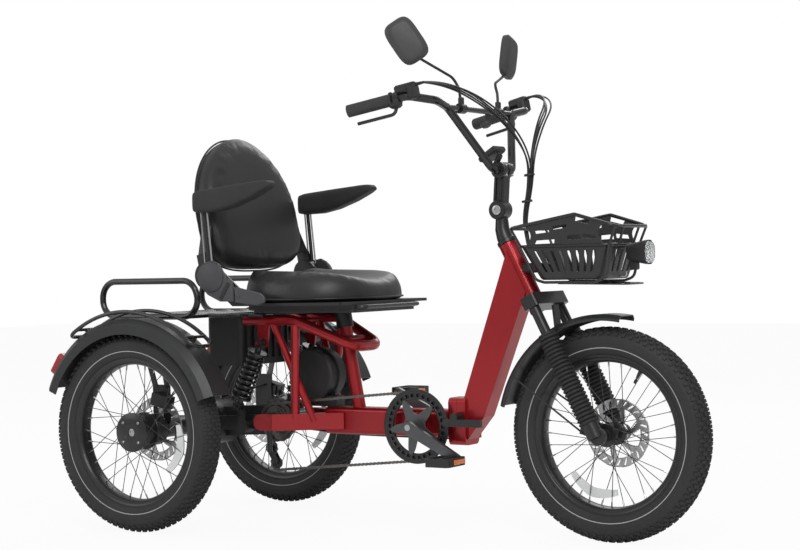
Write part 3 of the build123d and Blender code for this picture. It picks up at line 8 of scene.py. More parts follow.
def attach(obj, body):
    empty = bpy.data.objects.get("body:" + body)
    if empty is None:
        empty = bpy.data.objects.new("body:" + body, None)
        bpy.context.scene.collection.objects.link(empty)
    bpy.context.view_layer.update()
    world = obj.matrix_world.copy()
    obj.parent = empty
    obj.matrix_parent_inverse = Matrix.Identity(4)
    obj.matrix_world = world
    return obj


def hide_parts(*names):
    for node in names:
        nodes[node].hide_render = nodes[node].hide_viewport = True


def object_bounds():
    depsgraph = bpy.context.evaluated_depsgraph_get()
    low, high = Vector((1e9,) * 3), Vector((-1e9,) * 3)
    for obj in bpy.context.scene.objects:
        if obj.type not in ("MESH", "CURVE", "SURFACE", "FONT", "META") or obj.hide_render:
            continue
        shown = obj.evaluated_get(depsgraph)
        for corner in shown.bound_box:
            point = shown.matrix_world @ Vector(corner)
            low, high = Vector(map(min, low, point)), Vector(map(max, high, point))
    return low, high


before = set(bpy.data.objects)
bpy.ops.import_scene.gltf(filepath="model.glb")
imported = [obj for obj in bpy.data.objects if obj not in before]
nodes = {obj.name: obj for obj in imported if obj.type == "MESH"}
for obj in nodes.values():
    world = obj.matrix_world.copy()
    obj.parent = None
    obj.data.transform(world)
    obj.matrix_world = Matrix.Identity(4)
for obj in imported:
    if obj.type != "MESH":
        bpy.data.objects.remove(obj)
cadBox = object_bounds()
print("frame loaded:", len(nodes), "nodes")

# Stations below are millimetres from the rear axle; at() turns them into metres
wheelbase = 1290.0
tyreRadius = 280.0
originForward = wheelbase + tyreRadius - cadBox[1][0] * 1000
halfTrack = 350.0
bothSides = ((-1, "right"), (1, "left"))
axleHeight = 280.0


def at(forward, left, up):
    return np.array([forward - originForward, left, up]) / 1000


tilt = math.radians(27)
steerUp = np.array([-math.sin(tilt), 0, math.cos(tilt)])
steerAhead = np.array([math.cos(tilt), 0, math.sin(tilt)])
forwardAxis = np.array([1.0, 0.0, 0.0])
across = np.array([0.0, 1.0, 0.0])
upward = np.array([0.0, 0.0, 1.0])
frontAxle = at(wheelbase, 0, axleHeight)
headFoot = frontAxle - steerAhead * 0.033 + steerUp * 0.412
lean = math.radians(12)
backUp = np.array([-math.sin(lean), 0, math.cos(lean)])
backFront = np.array([math.cos(lean), 0, math.sin(lean)])


def onSteering(up, ahead=0.0, left=0.0):
    return headFoot + steerUp * up / 1000 + steerAhead * ahead / 1000 + across * left / 1000


# Camera, solved from the photograph's wheels and armrests; its optical centre is off the picture's middle
view = {"place": at(3391.5, -4328.5, 743.9), "yaw": 0.553, "pitch": 0.001, "roll": -0.022, "focal": 1850.1,
        "width": 800, "height": 550, "centreX": 419.4, "centreY": 261.2, "far": 60}


def addCamera(v):
    look = np.array([-math.sin(v["yaw"]) * math.cos(v["pitch"]), math.cos(v["yaw"]) * math.cos(v["pitch"]),
        -math.sin(v["pitch"])])
    right = np.array([math.cos(v["yaw"]), math.sin(v["yaw"]), 0])
    up = np.cross(right, look)
    right2 = right * math.cos(v["roll"]) + up * math.sin(v["roll"])
    up2 = up * math.cos(v["roll"]) - right * math.sin(v["roll"])
    turn = Matrix([[right2[i], up2[i], -look[i]] for i in range(3)]).to_4x4()
    data = bpy.data.cameras.new("camera")
    data.sensor_width = 36
    data.lens = v["focal"] / v["width"] * data.sensor_width
    data.shift_x = (v["width"] / 2 - v["centreX"]) / v["width"]
    data.shift_y = (v["centreY"] - v["height"] / 2) / v["width"]
    data.clip_end = v["far"]
    camera = bpy.data.objects.new("camera", data)
    camera.matrix_world = Matrix.Translation(Vector(v["place"])) @ turn
    bpy.context.scene.collection.objects.link(camera)
    bpy.context.scene.camera = camera


addCamera(view)

# Light: a surround that fades towards the ground, white to the eye and through clear parts, and three lamps
light = {"surround": 0.85, "lowShare": 0.22, "rampHigh": 0.5, "rampLow": -0.9, "floor": (0.9, 0.9, 0.9),
    "floorWhite": 0.93,
         "floorHalf": 14}
# name, place, height aimed at, size, watts
lampTable = (
    ("keyLamp", (2.6, -3.2, 3.4), 0.5, 2.6, 78),
    ("fillLamp", (-3.2, -3.0, 2.2), 0.5, 2.4, 20),
    ("backLamp", (-1.0, 3.4, 3.2), 0.6, 2.4, 34),
)


def joinNodes(tree, *links):
    # each link is (node, its output, node, its input)
    for giver, output, taker, place in links:
        tree.links.new(giver.outputs[output], taker.inputs[place])


def addLamp(name, place, target, size, power):
    data = bpy.data.lights.new(name, "AREA")
    data.shape = "DISK"
    data.size = size
    data.energy = power
    lamp = bpy.data.objects.new(name, data)
    lamp.location = place
    lamp.rotation_euler = (Vector(target) - Vector(place)).to_track_quat("-Z", "Y").to_euler()
    bpy.context.scene.collection.objects.link(lamp)


def addSurround(strength):
    # strength times a ramp that rises with the direction's height; the eye and clear parts see plain white
    world = bpy.data.worlds.new("surround")
    bpy.context.scene.world = world
    world.use_nodes = True
    tree = world.node_tree
    tree.nodes.clear()
    out = tree.nodes.new("ShaderNodeOutputWorld")
    path = tree.nodes.new("ShaderNodeLightPath")
    clear = tree.nodes.new("ShaderNodeMath")
    clear.operation = "MAXIMUM"
    geometry = tree.nodes.new("ShaderNodeNewGeometry")
    parts = tree.nodes.new("ShaderNodeSeparateXYZ")
    ramp = tree.nodes.new("ShaderNodeMapRange")
    ramp.inputs["From Min"].default_value = light["rampHigh"]
    ramp.inputs["From Max"].default_value = light["rampLow"]
    ramp.inputs["To Min"].default_value = light["lowShare"] * strength
    ramp.inputs["To Max"].default_value = strength
    shaded = tree.nodes.new("ShaderNodeBackground")
    white = tree.nodes.new("ShaderNodeBackground")
    white.inputs["Color"].default_value = (1, 1, 1, 1)
    mix = tree.nodes.new("ShaderNodeMixShader")
    joinNodes(tree, (path, "Is Camera Ray", clear, 0), (path, "Is Transmission Ray", clear, 1),
              (geometry, "Incoming", parts, 0), (parts, "Z", ramp, "Value"),
              (ramp, "Result", shaded, "Strength"),
              (clear, 0, mix, 0), (shaded, 0, mix, 1), (white, 0, mix, 2), (mix, 0, out, "Surface"))


def addFloor(color):
    mesh = bpy.data.meshes.new("floor")
    size = light["floorHalf"]
    mesh.from_pydata([(-size, -size, 0), (size, -size, 0), (size, size, 0), (-size, size, 0)], [],
        [(0, 1, 2, 3)])
    floor = bpy.data.objects.new("floor", mesh)
    bpy.context.scene.collection.objects.link(floor)
    material = bpy.data.materials.new("paleFloor")
    material.use_nodes = True
    tree = material.node_tree
    tree.nodes.clear()
    out = tree.nodes.new("ShaderNodeOutputMaterial")
    path = tree.nodes.new("ShaderNodeLightPath")
    matt = tree.nodes.new("ShaderNodeBsdfDiffuse")
    matt.inputs["Color"].default_value = (*color, 1)
    white = tree.nodes.new("ShaderNodeEmission")
    white.inputs["Strength"].default_value = 1.0
    share = tree.nodes.new("ShaderNodeMath")
    share.operation = "MULTIPLY"
    share.inputs[1].default_value = light["floorWhite"]
    mix = tree.nodes.new("ShaderNodeMixShader")
    joinNodes(tree, (path, "Is Camera Ray", share, 0), (share, 0, mix, 0), (matt, 0, mix, 1),
        (white, 0, mix, 2),
              (mix, 0, out, "Surface"))
    mesh.materials.append(material)


addSurround(light["surround"])
addFloor(light["floor"])
for name, place, aim, size, power in lampTable:
    addLamp(name, place, (0, 0, aim), size, power)
bpy.context.scene.view_settings.view_transform = "Standard"
print("camera and light placed")


# Finishes: colour drifts with broad noise, roughness with a finer one, and a grain of bumps on top
def addNode(tree, kind, **values):
    node = tree.nodes.new(kind)
    for key, value in values.items():
        if key in node.inputs:
            node.inputs[key].default_value = value
        else:
            setattr(node, key, value)
    return node


def makeFinish(name, color, rough, metal=0.0, coat=0.0, grain=700.0, depth=0.12, spread=0.14,
        roughSpread=0.07, drift=9.0):
    material = bpy.data.materials.new(name)
    material.use_nodes = True
    tree = material.node_tree
    shader = tree.nodes["Principled BSDF"]
    place = tree.nodes.new("ShaderNodeTexCoord")
    broad = addNode(tree, "ShaderNodeTexNoise", Scale=drift, Detail=3.0)
    tones = tree.nodes.new("ShaderNodeValToRGB")
    tones.color_ramp.elements[0].position = 0.3
    tones.color_ramp.elements[1].position = 0.7
    tones.color_ramp.elements[0].color = (*[c * (1 - spread) for c in color], 1)
    tones.color_ramp.elements[1].color = (*[min(1, c * (1 + spread)) for c in color], 1)
    patches = addNode(tree, "ShaderNodeTexNoise", Scale=drift * 6, Detail=4.0)
    span = tree.nodes.new("ShaderNodeMapRange")
    span.inputs["To Min"].default_value = max(0.03, rough - roughSpread)
    span.inputs["To Max"].default_value = min(1.0, rough + roughSpread)
    fine = addNode(tree, "ShaderNodeTexNoise", Scale=grain, Detail=2.0)
    bump = addNode(tree, "ShaderNodeBump", Strength=depth, Distance=0.0006)
    joinNodes(tree, (place, "Object", broad, "Vector"), (broad, "Fac", tones, "Fac"),
        (tones, "Color", shader, "Base Color"),
              (place, "Object", patches, "Vector"), (patches, "Fac", span, "Value"),
              (span, "Result", shader, "Roughness"),
              (place, "Object", fine, "Vector"), (fine, "Fac", bump, "Height"),
              (bump, "Normal", shader, "Normal"))
    shader.inputs["Metallic"].default_value = metal
    shader.inputs["Coat Weight"].default_value = coat
    shader.inputs["Coat Roughness"].default_value = 0.12
    return material


# name, colour, roughness, and what differs from the plain values
finishTable = (
    ("frameRed", (0.40, 0.014, 0.020), 0.33, dict(metal=0.62, coat=0.4, grain=2600, depth=0.08, spread=0.1,
    drift=3)),
    ("satinBlack", (0.016, 0.016, 0.017), 0.34, dict(coat=0.15, grain=1500, depth=0.06)),
    ("blackTube", (0.012, 0.012, 0.013), 0.27, dict(coat=0.3, grain=1400, depth=0.05)),
    ("blackPlastic", (0.022, 0.022, 0.023), 0.5, dict(grain=1100, depth=0.22)),
    ("fenderBlack", (0.026, 0.027, 0.028), 0.38, dict(grain=1300, depth=0.08, drift=4)),
    ("greyPlastic", (0.085, 0.087, 0.092), 0.5, dict(grain=1200, depth=0.25)),
    ("rubber", (0.02, 0.02, 0.02), 0.62, dict(grain=900, depth=0.3)),
    ("grip", (0.035, 0.035, 0.036), 0.6, dict(grain=1600, depth=0.5)),
    ("darkAlloy", (0.075, 0.076, 0.08), 0.38, dict(metal=0.8, grain=900, depth=0.1)),
    ("steel", (0.55, 0.55, 0.56), 0.34, dict(metal=1.0, grain=1800, depth=0.15)),
    ("chrome", (0.72, 0.72, 0.74), 0.16, dict(metal=1.0, grain=400, depth=0.02, roughSpread=0.05)),
    ("chainSteel", (0.2, 0.19, 0.18), 0.4, dict(metal=0.9, grain=900, depth=0.2)),
    ("vinyl", (0.023, 0.023, 0.024), 0.38, dict(grain=520, depth=0.35, drift=5)),
    ("armPad", (0.026, 0.027, 0.026), 0.66, dict(grain=620, depth=0.9)),
    ("mesh", (0.02, 0.02, 0.021), 0.4, dict(coat=0.1, grain=1000, depth=0.08)),
    ("clearReflector", (0.78, 0.8, 0.8), 0.22, dict(coat=0.6, grain=260, depth=0.5)),
    ("amber", (0.85, 0.2, 0.01), 0.2, dict(coat=0.6, grain=300, depth=0.4)),
    ("lampRed", (0.35, 0.008, 0.008), 0.15, dict(coat=0.8, grain=300, depth=0.4)),
    ("coverGrey", (0.062, 0.063, 0.067), 0.48, dict(grain=1200, depth=0.25)),
    ("crankGrey", (0.105, 0.108, 0.112), 0.36, dict(metal=0.55, coat=0.15, grain=1500, depth=0.06)),
    ("mirrorBack", (0.052, 0.053, 0.055), 0.42, dict(grain=1300, depth=0.2)),
    ("cable", (0.018, 0.018, 0.018), 0.32, dict(grain=1600, depth=0.1)),
    ("screen", (0.008, 0.009, 0.011), 0.08, dict(coat=0.9, grain=400, depth=0.01, roughSpread=0.02)),
    ("lampBowl", (0.74, 0.75, 0.76), 0.24, dict(metal=0.7, coat=0.5, grain=260, depth=0.3)),
)
paints = {name: makeFinish(name, color, rough, **rest) for name, color, rough, rest in finishTable}


def makeTyreFinish():
    # rubber whose colour follows the stripe attribute on the sidewall
    material = makeFinish("tyreRubber", (0.024, 0.024, 0.024), 0.66, grain=420, depth=0.35, drift=14)
    tree = material.node_tree
    shader = tree.nodes["Principled BSDF"]
    tones = shader.inputs["Base Color"].links[0].from_node
    stripe = addNode(tree, "ShaderNodeAttribute", attribute_name="stripe")
    mix = tree.nodes.new("ShaderNodeMix")
    mix.data_type = "RGBA"
    mix.inputs["B"].default_value = (0.42, 0.43, 0.43, 1)
    joinNodes(tree, (stripe, "Fac", mix, "Factor"), (tones, "Color", mix, "A"),
        (mix, "Result", shader, "Base Color"))
    return material


paints["tyre"] = makeTyreFinish()


def makeGlass():
    material = bpy.data.materials.new("clearLens")
    material.use_nodes = True
    tree = material.node_tree
    shader = tree.nodes["Principled BSDF"]
    shader.inputs["Base Color"].default_value = (0.93, 0.95, 0.96, 1)
    shader.inputs["Transmission Weight"].default_value = 0.9
    shader.inputs["Roughness"].default_value = 0.05
    shader.inputs["IOR"].default_value = 1.45
    place = tree.nodes.new("ShaderNodeTexCoord")
    ribs = addNode(tree, "ShaderNodeTexWave", Scale=90.0)
    ribs.bands_direction = "Y"
    bump = addNode(tree, "ShaderNodeBump", Strength=0.25, Distance=0.001)
    joinNodes(tree, (place, "Object", ribs, "Vector"), (ribs, "Fac", bump, "Height"),
        (bump, "Normal", shader, "Normal"))
    return material


paints["lens"] = makeGlass()

# Which CAD nodes wear each finish; the rest wear satin black
nodeFinish = {
    "frameRed": ("main_frame", "front_frame"),
    "chainSteel": ("cassette", "chain"),
    "crankGrey": ("crankset",),
    "blackPlastic": ("pedal_right", "pedal_left", "battery_box", "controller_case", "headlamp", "display",
    "mirrors"),
    "fenderBlack": ("rear_fenders", "front_fender"),
    "blackTube": ("fender_guards", "cargo_rack", "handlebar", "shock_springs"),
    "lampRed": ("tail_lamps",),
    "steel": ("armrest_posts", "brake_disc_front", "brake_disc_rear_left", "brake_disc_rear_right"),
    "mesh": ("basket",),
    "grip": ("grips",),
    "vinyl": ("seat_cushion", "backrest_pad"),
    "armPad": ("armrests",),
    "rubber": ("fork_boots",),
    "tyre": ("tyre_front", "tyre_rear_left", "tyre_rear_right"),
}
paintOf = {name: paint for paint, names in nodeFinish.items() for name in names}
for name, node in nodes.items():
    paint = paints[paintOf.get(name, "satinBlack")]
    if not node.material_slots:
        node.data.materials.append(paint)
    for slot in node.material_slots:
        slot.material = paint
print("finishes made")


# Surfaces from grids of points
def gridFaces(rows, columns, wrapRows=False, wrapColumns=False):
    # every cell of the grid is one face; a wrapped side joins its last line to its first
    a, b = np.meshgrid(np.arange(rows if wrapRows else rows - 1),
        np.arange(columns if wrapColumns else columns - 1), indexing="ij")
    a2, b2 = (a + 1) % rows, (b + 1) % columns
    return np.stack([a * columns + b, a2 * columns + b, a2 * columns + b2, a * columns + b2],
        -1).reshape(-1, 4)


def gridShape(grid, wrapRows=False, wrapColumns=False, caps=False):
    rows, columns = grid.shape[:2]
    faces = gridFaces(rows, columns, wrapRows, wrapColumns).tolist()
    if caps:
        faces.append(list(range(columns))[::-1])
        faces.append([(rows - 1) * columns + i for i in range(columns)])
    return grid.reshape(-1, 3), faces


def sheetShape(grid, keep, wrapRows=False, wrapColumns=False):
    # a thin sheet with holes: cells of the grid that aren't kept are left out
    faces = gridFaces(*grid.shape[:2], wrapRows, wrapColumns)[keep.reshape(-1)]
    used, index = np.unique(faces, return_inverse=True)
    return grid.reshape(-1, 3)[used], index.reshape(faces.shape).tolist()


def aroundAxle(angle, radius, left):
    # points at the given radii and distances to the left, for each angle about a crosswise axle
    x = np.cos(angle)[:, None] * radius
    return np.stack([x, np.broadcast_to(left, x.shape), np.sin(angle)[:, None] * radius], -1)


def roundOutline(halfX, halfY, power=4.0, count=44):
    # cosine and sine divided by their power mean, so a higher power gives squarer corners
    a = np.linspace(0, math.tau, count, endpoint=False)
    c, s = np.cos(a), np.sin(a)
    reach = (np.abs(c) ** power + np.abs(s) ** power) ** (-1 / power)
    return np.stack([reach * c * halfX, reach * s * halfY], -1)


def sideways(axis):
    axis = np.asarray(axis, float)
    axis = axis / np.linalg.norm(axis)
    seed = np.array([0, 0, 1.0]) if abs(axis[2]) < 0.9 else np.array([1.0, 0, 0])
    first = np.cross(seed, axis)
    first /= np.linalg.norm(first)
    return axis, first, np.cross(axis, first)


def turned(centre, axis, profile, segments=48, caps=True):
    # each profile point (distance along the axis, radius) is carried round a circle about the axis
    axis, first, second = sideways(axis)
    profile = np.asarray(profile, float)
    angle = np.linspace(0, math.tau, segments, endpoint=False)
    ring = np.cos(angle)[:, None] * first + np.sin(angle)[:, None] * second
    grid = np.asarray(centre) + profile[:, None, 0:1] * axis + profile[:, None, 1:2] * ring[None]
    return gridShape(grid, wrapColumns=True, caps=caps)


def tubeAlong(points, radius, sides=12, closed=False, caps=True):
    # a circle of the given radius is carried square to the path, its start passed on from point to point
    points = np.asarray(points, float)
    radius = np.broadcast_to(np.asarray(radius, float), (len(points),))
    if closed:
        ahead = np.roll(points, -1, 0) - np.roll(points, 1, 0)
    else:
        ahead = np.gradient(points, axis=0)
    ahead /= np.linalg.norm(ahead, axis=1)[:, None]
    side = np.zeros_like(points)
    side[0] = sideways(ahead[0])[1]
    for i in range(1, len(points)):
        step = side[i - 1] - ahead[i] * np.dot(side[i - 1], ahead[i])
        side[i] = step / np.linalg.norm(step)
    other = np.cross(ahead, side)
    angle = np.linspace(0, math.tau, sides, endpoint=False)
    if closed:
        start = side[-1] - ahead[0] * np.dot(side[-1], ahead[0])
        slip = math.atan2(np.dot(start, other[0]), np.dot(start, side[0]))
        angle = angle[None] - (np.arange(len(points)) / len(points) * slip)[:, None]
    else:
        angle = np.broadcast_to(angle, (len(points), sides))
    grid = points[:, None] + radius[:, None, None] * (np.cos(angle)[..., None] * side[:, None]
        + np.sin(angle)[..., None] * other[:, None])
    return gridShape(grid, wrapRows=closed, wrapColumns=True, caps=caps and not closed)


def bentPath(corners, bend, steps=7, closed=False):
    # straight runs between corners, each corner replaced by an arc tangent to both runs
    corners = [np.asarray(c, float) for c in corners]
    count = len(corners)
    path = [] if closed else [corners[0]]
    for i in range(count) if closed else range(1, count - 1):
        here, before, after = corners[i], corners[i - 1], corners[(i + 1) % count]
        u = (before - here) / np.linalg.norm(before - here)
        v = (after - here) / np.linalg.norm(after - here)
        half = math.acos(max(-1, min(1, float(np.dot(u, v))))) / 2
        reach = min(bend / math.tan(half), 0.49 * np.linalg.norm(before - here),
            0.49 * np.linalg.norm(after - here))
        radius = reach * math.tan(half)
        middle = here + (u + v) / np.linalg.norm(u + v) * radius / math.sin(half)
        a, b = here + u * reach - middle, here + v * reach - middle
        sweep = math.pi - 2 * half
        for t in np.linspace(0, 1, steps):
            path.append(middle + (a * math.sin((1 - t) * sweep) + b * math.sin(t * sweep)) / math.sin(sweep))
    if not closed:
        path.append(corners[-1])
    return np.array(path)


def block(centre, xAxis, yAxis, size, bevel=0.002):
    # a box with its twelve edges cut back by the bevel
    x = np.asarray(xAxis, float) / np.linalg.norm(xAxis)
    y = np.asarray(yAxis, float)
    y = y - x * np.dot(x, y)
    y /= np.linalg.norm(y)
    z = np.cross(x, y)
    hx, hy, hz = np.asarray(size, float) / 2
    b = min(bevel, hx * 0.9, hy * 0.9, hz * 0.9)
    rings = []
    for height, inset in ((-hz, b), (-hz + b, 0), (hz - b, 0), (hz, b)):
        ix, iy = hx - inset, hy - inset
        c = b if inset == 0 else b * 0.6
        ring = [(ix, -iy + c), (ix, iy - c), (ix - c, iy), (-ix + c, iy), (-ix, iy - c), (-ix, -iy + c),
            (-ix + c, -iy), (ix - c, -iy)]
        rings.append([np.asarray(centre) + p * x + q * y + height * z for p, q in ring])
    return gridShape(np.array(rings), wrapColumns=True, caps=True)


def slab(outline, thick, centre, xAxis, yAxis, bevel=0.0015):
    # a flat outline given a thickness, its rim cut back a little on both faces
    outline = np.asarray(outline, float)
    x, y = np.asarray(xAxis, float), np.asarray(yAxis, float)
    z = np.cross(x, y)
    middle = outline.mean(0)
    inward = middle - outline
    inward /= np.linalg.norm(inward, axis=1)[:, None]
    rings = []
    for height, inset in ((-thick / 2, bevel), (-thick / 2 + bevel, 0), (thick / 2 - bevel, 0),
            (thick / 2, bevel)):
        flat = outline + inward * inset
        rings.append(np.asarray(centre) + flat[:, :1] * x + flat[:, 1:] * y + height * z)
    return gridShape(np.array(rings), wrapColumns=True, caps=True)


def makePiece(name, shapes, paint, body, replaces=(), sharp=38, attributes=None, recalc=True):
    # shapes are (points, faces) or (points, faces, index of the paint); they become one mesh
    paintNames = [paint] if isinstance(paint, str) else list(paint)
    points, faces, marks = [], [], []
    start = 0
    for shape in shapes:
        mark = shape[2] if len(shape) > 2 else 0
        points.append(np.asarray(shape[0], float))
        faces += [[i + start for i in face] for face in shape[1]]
        marks += [mark] * len(shape[1])
        start += len(shape[0])
    mesh = bpy.data.meshes.new(name)
    mesh.from_pydata(np.concatenate(points).tolist(), [], faces)
    mesh.polygons.foreach_set("material_index", np.array(marks, np.int32))
    for paintName in paintNames:
        mesh.materials.append(paints[paintName])
    if attributes:
        for key, values in attributes.items():
            layer = mesh.attributes.new(key, "FLOAT", "POINT")
            layer.data.foreach_set("value", np.asarray(values, np.float32))
    if recalc:
        work = bmesh.new()
        work.from_mesh(mesh)
        bmesh.ops.recalc_face_normals(work, faces=work.faces)
        work.to_mesh(mesh)
        work.free()
    mesh.polygons.foreach_set("use_smooth", np.ones(len(mesh.polygons), bool))
    mesh.set_sharp_from_angle(angle=math.radians(sharp))
    mesh.update()
    piece = bpy.data.objects.new(name, mesh)
    bpy.context.scene.collection.objects.link(piece)
    if replaces:
        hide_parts(*replaces)
    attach(piece, body)
    return piece


def makePlate(name, shapes, paint, body, thick, replaces=()):
    # sheets given a thickness about their middle
    plate = makePiece(name, shapes, paint, body, replaces, recalc=False)
    thicken = plate.modifiers.new("thickness", "SOLIDIFY")
    thicken.thickness = thick
    thicken.offset = 0


# Tyres: a ring of blocks in staggered rows over a round section, with a pale line on the flank
tyre = {"crown": 0.2758, "lug": 0.0042, "halfWidth": 0.0378, "bead": 0.2065, "beadHalf": 0.0245,
    "middle": 0.243, "pitches": 78}
lugRows = ((-62, -46, 1), (-43, -28, 0), (-25, -10, 1), (-7.5, 7.5, 0), (10, 25, 1), (28, 43, 0), (46, 62, 1))
flankLines = (65, 70, 76, 83, 90, 93, 96, 99, 102, 105, 106.9, 107.0, 109.5, 109.6, 113, 117, 121, 125, 130,
    136, 143, 150)


def tyreSurface(centre):
    # section angle p runs from bead to bead; a point lies at half width times sin p and middle plus rise
    # times cos p, pushed out by the lug height where its row and its place in the pitch are both on
    section, onRow = [], []
    for p in sorted([-f for f in flankLines]):
        section.append(p)
        onRow.append(-1)
    for first, last, phase in lugRows:
        for p, on in ((first, 0), (first + 1.6, 1), ((first + last) / 2, 1), (last - 1.6, 1), (last, 0)):
            section.append(p)
            onRow.append(phase if on else -1)
    for p in flankLines:
        section.append(p)
        onRow.append(-1)
    section = np.array(section, float)
    onRow = np.array(onRow)
    turn = np.radians(np.clip(np.abs(section), 0, 90))
    low = np.clip((np.abs(section) - 90) / 60, 0, 1) * math.pi / 2
    half = tyre["halfWidth"] * np.sin(turn) - (tyre["halfWidth"] - tyre["beadHalf"]) * (1 - np.cos(low))
    left = np.sign(section) * half
    radius = tyre["middle"] + (tyre["crown"] - tyre["middle"]) * np.cos(turn) - (tyre["middle"]
        - tyre["bead"]) * np.sin(low)
    ridge = np.where((np.abs(section) > 64) & (np.abs(section) < 104),
        0.0004 * np.sin(np.abs(section) * 1.1), 0)
    steps = np.array([0.03, 0.07, 0.25, 0.43, 0.47, 0.53, 0.57, 0.75, 0.93, 0.97])
    onStep = np.array([-1, 0, 0, 0, -1, -1, 1, 1, 1, -1])
    place = (np.arange(tyre["pitches"])[:, None] + steps).reshape(-1) / tyre["pitches"]
    lug = np.tile(onStep, tyre["pitches"])
    raised = (lug[:, None] == onRow[None]) & (onRow[None] >= 0)
    push = raised * tyre["lug"] * (0.82 + 0.18 * np.cos(np.radians(section)))[None] + ridge[None]
    r = radius[None] + push * np.cos(np.radians(np.clip(np.abs(section), 0, 90)))[None]
    y = left[None] + push * np.sin(np.radians(np.clip(section, -90, 90)))[None]
    angle = place * math.tau
    grid = aroundAxle(angle, r, y) + centre
    size = np.abs(section)
    stripe = np.where((size > 106.95) & (size < 109.55), 1.0, 0.0)
    stripes = np.broadcast_to(stripe[None], r.shape).reshape(-1)
    return gridShape(grid, wrapRows=True, wrapColumns=True), stripes


rimProfile = np.array([
    (-0.0258, 0.2085), (-0.0268, 0.2070), (-0.0262, 0.2015), (-0.0240, 0.1990), (-0.0238, 0.1950),
    (-0.0205, 0.1915),
    (-0.0130, 0.1885), (0.0, 0.1875), (0.0130, 0.1885), (0.0205, 0.1915), (0.0238, 0.1950), (0.0240, 0.1990),
    (0.0262, 0.2015), (0.0268, 0.2070), (0.0258, 0.2085), (0.0238, 0.2075), (0.0180, 0.2000), (0.0, 0.1980),
    (-0.0180, 0.2000), (-0.0238, 0.2075)])


def ringShape(centre, profile, segments):
    # a closed profile of (left, radius) points carried round the axle
    angle = np.linspace(0, math.tau, segments, endpoint=False)
    grid = aroundAxle(angle, profile[None, :, 1], profile[None, :, 0]) + centre
    return gridShape(grid, wrapRows=True, wrapColumns=True)


spoke = {"count": 36, "radius": 0.00105, "rim": 0.1885, "nipple": 0.0022, "nippleLength": 0.014}


def spokeShapes(centre, flanges, flangeRadius):
    # neighbours on a flange lean opposite ways, so that they cross, and each ends in a nipple at the rim
    shapes = []
    half = spoke["count"] // 2
    for side, flange in enumerate(flanges):
        for index in range(half):
            leanSide = 1 if index % 2 else -1
            atRim = math.tau * (index + side / 2) / half
            atHub = atRim + leanSide * math.radians(62)
            start = centre + np.array([math.cos(atHub) * (flangeRadius - 0.004), flange + leanSide * 0.0018,
                math.sin(atHub) * (flangeRadius - 0.004)])
            end = centre + np.array([math.cos(atRim) * spoke["rim"], flange * 0.1,
                math.sin(atRim) * spoke["rim"]])
            run = (end - start) / np.linalg.norm(end - start)
            shapes.append(tubeAlong([start, end], spoke["radius"], 6) + (1,))
            shapes.append(tubeAlong([end - run * spoke["nippleLength"], end - run * 0.001], spoke["nipple"],
                6) + (2,))
    return shapes


def screwHead(place, axis, radius=0.004, height=0.003):
    # a low domed head with a round recess
    return turned(place, axis, [(0, radius), (height * 0.6, radius), (height, radius * 0.75),
        (height, radius * 0.5), (height * 0.4, radius * 0.42)], 12)


def hubShapes(centre, rear, inward):
    shapes = []
    if rear:
        outward = -inward
        profile = [(a * inward, r) for a, r in
                   [(0.084, 0.009), (0.084, 0.040), (0.080, 0.0438), (0.032, 0.0438), (0.0315, 0.051),
                   (0.030, 0.0522), (0.0265, 0.0522),
                    (0.025, 0.051), (0.0245, 0.0438), (-0.018, 0.0438), (-0.0185, 0.0535), (-0.020, 0.0545),
                    (-0.028, 0.0545),
                    (-0.0310, 0.0500), (-0.0310, 0.0240), (-0.0302, 0.0232), (-0.0302, 0.0120),
                    (-0.0250, 0.0115)]]
        shapes.append(turned(centre, across, profile, 64))
        for k in range(4):
            a = math.tau * (k + 0.5) / 4
            shapes.append(screwHead(centre + np.array([0.038 * math.cos(a), outward * 0.0308,
                0.038 * math.sin(a)]), across * outward) + (2,))
        shapes.append(turned(centre + across * outward * 0.024, across * outward,
            [(0, 0.0118), (0.003, 0.0118), (0.004, 0.010), (0.004, 0.0065), (0.0015, 0.006)], 24) + (2,))
        flanges, radius = (outward * 0.0245, inward * 0.028), 0.0505
    else:
        profile = [(-0.042, 0.0076), (-0.042, 0.0155), (-0.039, 0.017), (-0.033, 0.017), (-0.032, 0.0295),
            (-0.0305, 0.0305),
                   (-0.0285, 0.0305), (-0.027, 0.029), (-0.025, 0.018), (0, 0.0165), (0.025, 0.018),
                   (0.027, 0.029), (0.0285, 0.0305),
                   (0.0305, 0.0305), (0.032, 0.0295), (0.033, 0.017), (0.039, 0.017), (0.042, 0.0155),
                   (0.042, 0.0076)]
        shapes.append(turned(centre, across, profile, 48))
        flanges, radius = (0.030, -0.030), 0.0295
    return shapes + spokeShapes(centre, flanges, radius)


